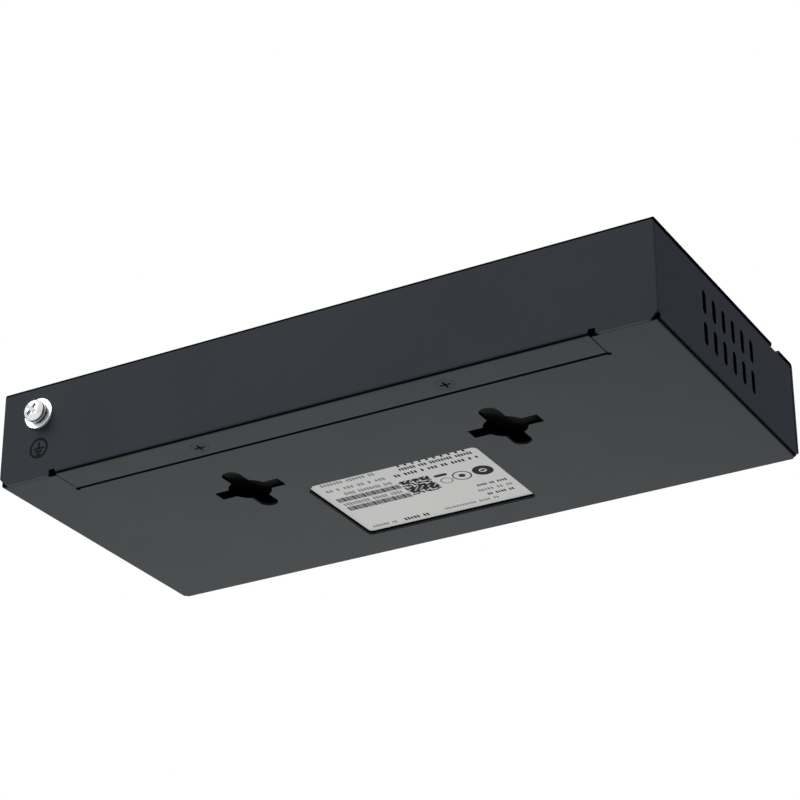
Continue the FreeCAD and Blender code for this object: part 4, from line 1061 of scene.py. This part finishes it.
@dataclass(frozen=True)
class EarthTerminal:
    """The earth screw on the rear wall, its spring washer, and the earth sign printed under it."""

    clearance: float = 0.1 * MM
    shank: float = 1.98 * MM
    tip_share: float = 0.8
    tip_length: float = 0.4 * MM
    head_edge: float = 0.15 * MM
    dome: float = 1.5 * MM
    dome_spread: float = 1.25
    dome_steps: int = 6
    wing_width: float = 1.2 * MM
    wing_reach: float = 4.2 * MM
    wing_taper: tuple[float, float] = (2.0, 1.25)
    wing_turns: tuple[float, float] = (math.radians(48), math.radians(138))
    recess_depth: float = 1.9 * MM
    washer_edge: float = 0.12 * MM
    split_share: float = 0.6
    split_turn: float = math.radians(55)
    polished: PlatedSteel = PlatedSteel(
        "polished_steel", (0.75, 0.76, 0.765), 0.24, metallic=1.0, grain=0.3 * MM
    )
    # Near black, as painted shade in the gap under the screw head.
    shadowed: PlatedSteel = PlatedSteel(
        "shadowed_steel", (0.03, 0.03, 0.032), 0.5, specular=0.12, grain=0.2 * MM
    )
    sign_diameter: float = 6.3 * MM
    sign_shift: float = -0.5 * MM
    sign_height: float = 9.15 * MM
    stem: tuple[float, float] = (0.15, 0.3)
    bars: tuple[tuple[float, float], ...] = ((-0.02, 0.58), (-0.165, 0.4), (-0.31, 0.22))
    stroke: float = 0.7 * MM
    ink_thickness: float = 0.02 * MM
    ink: Ink = Ink(
        "sign_ink", (0.013, 0.0135, 0.016), 0.8, specular=0.02, grain=0.2 * MM, paper=(0.02, 0.02, 0.02)
    )

    def build(self) -> None:
        """Make the screw and its spring washer, and print the sign."""
        low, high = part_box("ground_screw")
        axis = ((low.x + high.x) / 2, 0, (low.z + high.z) / 2)
        turned = Plane(axis, (-1, 0, 0), (0, 0, 1)).matrix()
        self.make_screw(low, high, turned)
        self.make_spring_washer(turned)
        self.print_sign(axis[0])

    def make_screw(self, low: Vector, high: Vector, turned: Matrix) -> None:
        """Turn the screw, cut its cross recess and set it in its place.

        Args:
            low: the lower corner of the screw's box.
            high: the upper corner.
            turned: the move from the Z axis to the screw's axis.
        """
        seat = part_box("ground_spring_washer")[1].y
        radius = (high.z - low.z) / 2
        rings = [(self.tip_share * self.shank, low.y), (self.shank, low.y + self.tip_length)]
        rings += [(self.shank, seat), (radius - self.head_edge, seat)]
        rings += [(radius, seat + self.head_edge), (radius, high.y - self.dome)]
        for count in range(1, self.dome_steps + 1):
            lean = math.radians(90 * count / self.dome_steps)
            inward = self.dome_spread * self.dome * (1 - math.cos(lean))
            rings.append((radius - inward, high.y - self.dome * (1 - math.sin(lean))))
        screw = Workbench.raise_rings("earth_screw", rings)
        for turn in self.wing_turns:
            wing = self.make_wing(high.y)
            wing.data.transform(Matrix.Rotation(turn, 4, "Z"))
            Workbench.cut(screw, wing)
            Workbench.drop(wing)
        screw.data.transform(turned)
        Workbench.smooth(screw)
        Workbench.finish(screw, Slot.BRIGHT_STEEL, self.polished, "ground_screw")

    def make_wing(self, top: float) -> bpy.types.Object:
        """Model the tool for one pair of wings: a long block that narrows on its way down into the head.

        Args:
            top: the height of the head's top.

        Returns:
            The tool.
        """
        longer, wider = self.wing_taper
        Workbench.deselect()
        bpy.ops.mesh.primitive_plane_add(size=1.0)
        wing = Workbench.name("wing_tool")
        size = Matrix.Diagonal((self.wing_reach / longer, self.wing_width / wider, 1.0, 1.0))
        wing.data.transform(Matrix.Translation((0, 0, top - self.recess_depth)) @ size)
        rise = self.recess_depth + self.clearance
        bpy.ops.object.mode_set(mode="EDIT")
        bpy.ops.mesh.select_all(action="SELECT")
        bpy.ops.mesh.extrude_region_move(TRANSFORM_OT_translate={"value": (0, 0, rise)})
        bpy.ops.transform.resize(value=(longer, wider, 1.0), center_override=(0, 0, top))
        bpy.ops.object.mode_set(mode="OBJECT")
        Workbench.outward(wing)
        return wing

    def make_spring_washer(self, turned: Matrix) -> None:
        """Turn the spring washer with its edges broken, and split it with one slanting cut.

        Args:
            turned: the move from the Z axis to the screw's axis.
        """
        low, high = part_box("ground_spring_washer")
        radius, gauge = (high.z - low.z) / 2, high.y - low.y
        edge = self.washer_edge
        rings = [(radius - edge, low.y), (radius, low.y + edge)]
        rings += [(radius, high.y - edge), (radius - edge, high.y)]
        washer = Workbench.raise_rings("earth_spring_washer", rings)
        hole = self.shank + self.clearance
        bore = Workbench.raise_rings("bore_tool", [(hole, low.y - gauge), (hole, high.y + gauge)])
        split = self.make_split(radius, low.y, gauge)
        for tool in (bore, split):
            Workbench.cut(washer, tool)
        Workbench.drop(bore, split)
        washer.data.transform(turned)
        Workbench.smooth(washer)
        # The spring washer's near-black finish is painted shade under the head.
        Workbench.finish(washer, Slot.BRIGHT_STEEL, self.shadowed, "ground_spring_washer")

    def make_split(self, radius: float, seat: float, gauge: float) -> bpy.types.Object:
        """Model the tool for the washer's split: a slab that leans as it rises through the washer.

        Args:
            radius: the washer's radius.
            seat: the height of the washer's underside.
            gauge: its thickness.

        Returns:
            The tool.
        """
        width = self.split_share * gauge
        over = 0.1 * gauge
        Workbench.deselect()
        bpy.ops.mesh.primitive_plane_add(size=1.0)
        split = Workbench.name("split_tool")
        size = Matrix.Diagonal((2 * radius, width, 1.0, 1.0))
        split.data.transform(Matrix.Translation((radius, 0, seat - over)) @ size)
        bpy.ops.object.mode_set(mode="EDIT")
        bpy.ops.mesh.select_all(action="SELECT")
        bpy.ops.mesh.extrude_region_move(TRANSFORM_OT_translate={"value": (0, width, gauge + 2 * over)})
        bpy.ops.object.mode_set(mode="OBJECT")
        Workbench.outward(split)
        split.data.transform(Matrix.Rotation(self.split_turn, 4, "Z"))
        return split

    def print_sign(self, axis: float) -> None:
        """Print the sign: a ring round a stem over three shorter and shorter bars.

        Args:
            axis: the screw's X.
        """
        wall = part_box("top_cover")[1].y
        middle = (axis + self.sign_shift, wall, self.sign_height)
        stamps = Stamps(Plane(middle, (-1, 0, 0), (0, 0, 1)), self.ink_thickness)
        size = self.sign_diameter
        stamps.put(Pattern.BOLD_RING, 0, 0, size, size)
        place, height = self.stem
        stamps.put(Pattern.BLOCK, 0, place * size, self.stroke, height * size)
        for place, width in self.bars:
            stamps.put(Pattern.BLOCK, 0, place * size, width * size, self.stroke)
        sign = stamps.gather("earth_sign")
        stamps.clear()
        Workbench.finish(sign, Slot.CASE_PAINT, self.ink)


class Dressing:
    """The finishes of the CAD's own nodes, as their slots in the record say."""

    def build(self) -> None:
        """Build each finish once and give it to every node of its slot."""
        made = {slot: finish.material() for slot, finish in FINISHES.items()}
        for part in frame["record"]["subparts"]:
            node = frame["nodes"][part["node"]]
            material = made[Slot(part["material_slot"])]
            if not node.material_slots:
                node.data.materials.append(material)
            for place in node.material_slots:
                place.material = material
            log.info("%s: %s", node.name, material.name)


@dataclass
class Lamp:
    """A soft lamp that faces the switch, and that shiny surfaces mirror or not."""

    name: str
    place: Point
    width: float
    height: float
    watts: float
    colour: Colour = WHITE
    mirrored: bool = True

    def build(self, target: Point) -> None:
        """Hang the lamp.

        Args:
            target: the point that it faces.
        """
        light = bpy.data.lights.new(self.name, "AREA")
        light.shape = "RECTANGLE"
        light.size = self.width
        light.size_y = self.height
        light.energy = self.watts
        light.color = self.colour
        lamp = bpy.data.objects.new(self.name, light)
        lamp.visible_glossy = self.mirrored
        lamp.location = self.place
        lamp.rotation_euler = (Vector(target) - Vector(self.place)).to_track_quat("-Z", "Y").to_euler()
        bpy.context.scene.collection.objects.link(lamp)


@dataclass
class Studio:
    """The camera, the floor, the pale surroundings and the lamps."""

    camera_place: Point = (-0.31836, 0.55122, -0.30293)
    camera_target: Point = (-0.009386, 0.002645, 0.014285)
    camera_roll: float = math.radians(-0.153)
    lens: float = 116.785
    sensor: float = 36.0
    floor_reach: float = 1.6
    floor_drop: float = 0.02 * MM
    floor_colour: Colour = (0.84, 0.82, 0.78)
    floor_cloud: float = 0.2
    floor_shade: float = 0.98
    ambient: Colour = (0.19, 0.225, 0.34)
    lamps: tuple[Lamp, ...] = (
        Lamp("key_above", (0.7, 0.9, 1.1), 0.9, 0.9, 26.0, (0.98, 1.0, 0.93)),
        Lamp("fill_front", (0.7, -1.1, 0.9), 0.9, 0.9, 10.0),
        Lamp("side", (-1.2, -0.5, 0.1), 0.5, 0.5, 3.2, (0.95, 0.97, 1.1)),
        Lamp("under", (0.06, -0.13, -0.35), 0.3, 0.3, 1.95, (1.0, 0.985, 0.87), False),
    )

    def build(self) -> None:
        """Set up everything round the switch."""
        self.aim_camera()
        self.lay_floor()
        self.light_world()
        for lamp in self.lamps:
            lamp.build(self.camera_target)

    def aim_camera(self) -> None:
        """Place the camera below and behind the switch, as the photograph was taken."""
        view = bpy.data.cameras.new("camera")
        view.lens = self.lens
        view.sensor_width = self.sensor
        camera = bpy.data.objects.new("camera", view)
        camera.location = self.camera_place
        aim = (Vector(self.camera_target) - Vector(self.camera_place)).to_track_quat("-Z", "Y")
        camera.rotation_euler = (aim @ Quaternion((0, 0, 1), self.camera_roll)).to_euler()
        bpy.context.scene.collection.objects.link(camera)
        bpy.context.scene.camera = camera

    def lay_floor(self) -> None:
        """Lay the floor just under the case."""
        Workbench.deselect()
        bpy.ops.mesh.primitive_plane_add(size=2 * self.floor_reach)
        floor = Workbench.name("floor")
        floor.data.transform(Matrix.Translation((0, 0, -self.floor_drop)))
        floor.data.materials.append(self.floor_paint())

    def floor_paint(self) -> bpy.types.Material:
        """Build the floor's paint: pale and matt to a camera above it, and clear to all other rays.

        Returns:
            The paint.
        """
        material = bpy.data.materials.new("floor_paint")
        material.use_nodes = True
        graph = Graph(material.node_tree)
        below = graph.node("ShaderNodeNewGeometry", output="Backfacing")
        seen = graph.node("ShaderNodeLightPath", output="Is Camera Ray")
        clouds = graph.noise(self.floor_cloud)
        pale = graph.blend(clouds, shade(self.floor_colour, self.floor_shade), self.floor_colour)
        matt = graph.node("ShaderNodeBsdfDiffuse", None, {"Color": pale})
        clear = graph.node("ShaderNodeBsdfTransparent")
        graph.show(graph.node("ShaderNodeMixShader", None, {0: below | (1 - seen), 1: matt, 2: clear}))
        return material

    def light_world(self) -> None:
        """Show white to the camera, to metal and to clear plastic, and light the rest softly."""
        world = bpy.data.worlds.new("studio")
        world.use_nodes = True
        bpy.context.scene.world = world
        graph = Graph(world.node_tree)
        seen = graph.node("ShaderNodeLightPath", output="Is Camera Ray")
        seen = seen | graph.node("ShaderNodeLightPath", output="Is Glossy Ray")
        seen = seen | graph.node("ShaderNodeLightPath", output="Is Transmission Ray")
        light = graph.node("ShaderNodeBackground", None, {"Color": graph.blend(seen, self.ambient, WHITE)})
        graph.show(light, "ShaderNodeOutputWorld")


def main() -> None:
    """Dress the switch, add its fine pieces and set up the studio."""
    logging.basicConfig(level=logging.INFO, format="%(name)s: %(message)s")
    Studio().build()
    Dressing().build()
    RatingLabel().build()
    EarthTerminal().build()
    bpy.context.scene.view_settings.view_transform = "Standard"


if __name__ == "__main__":
    main()
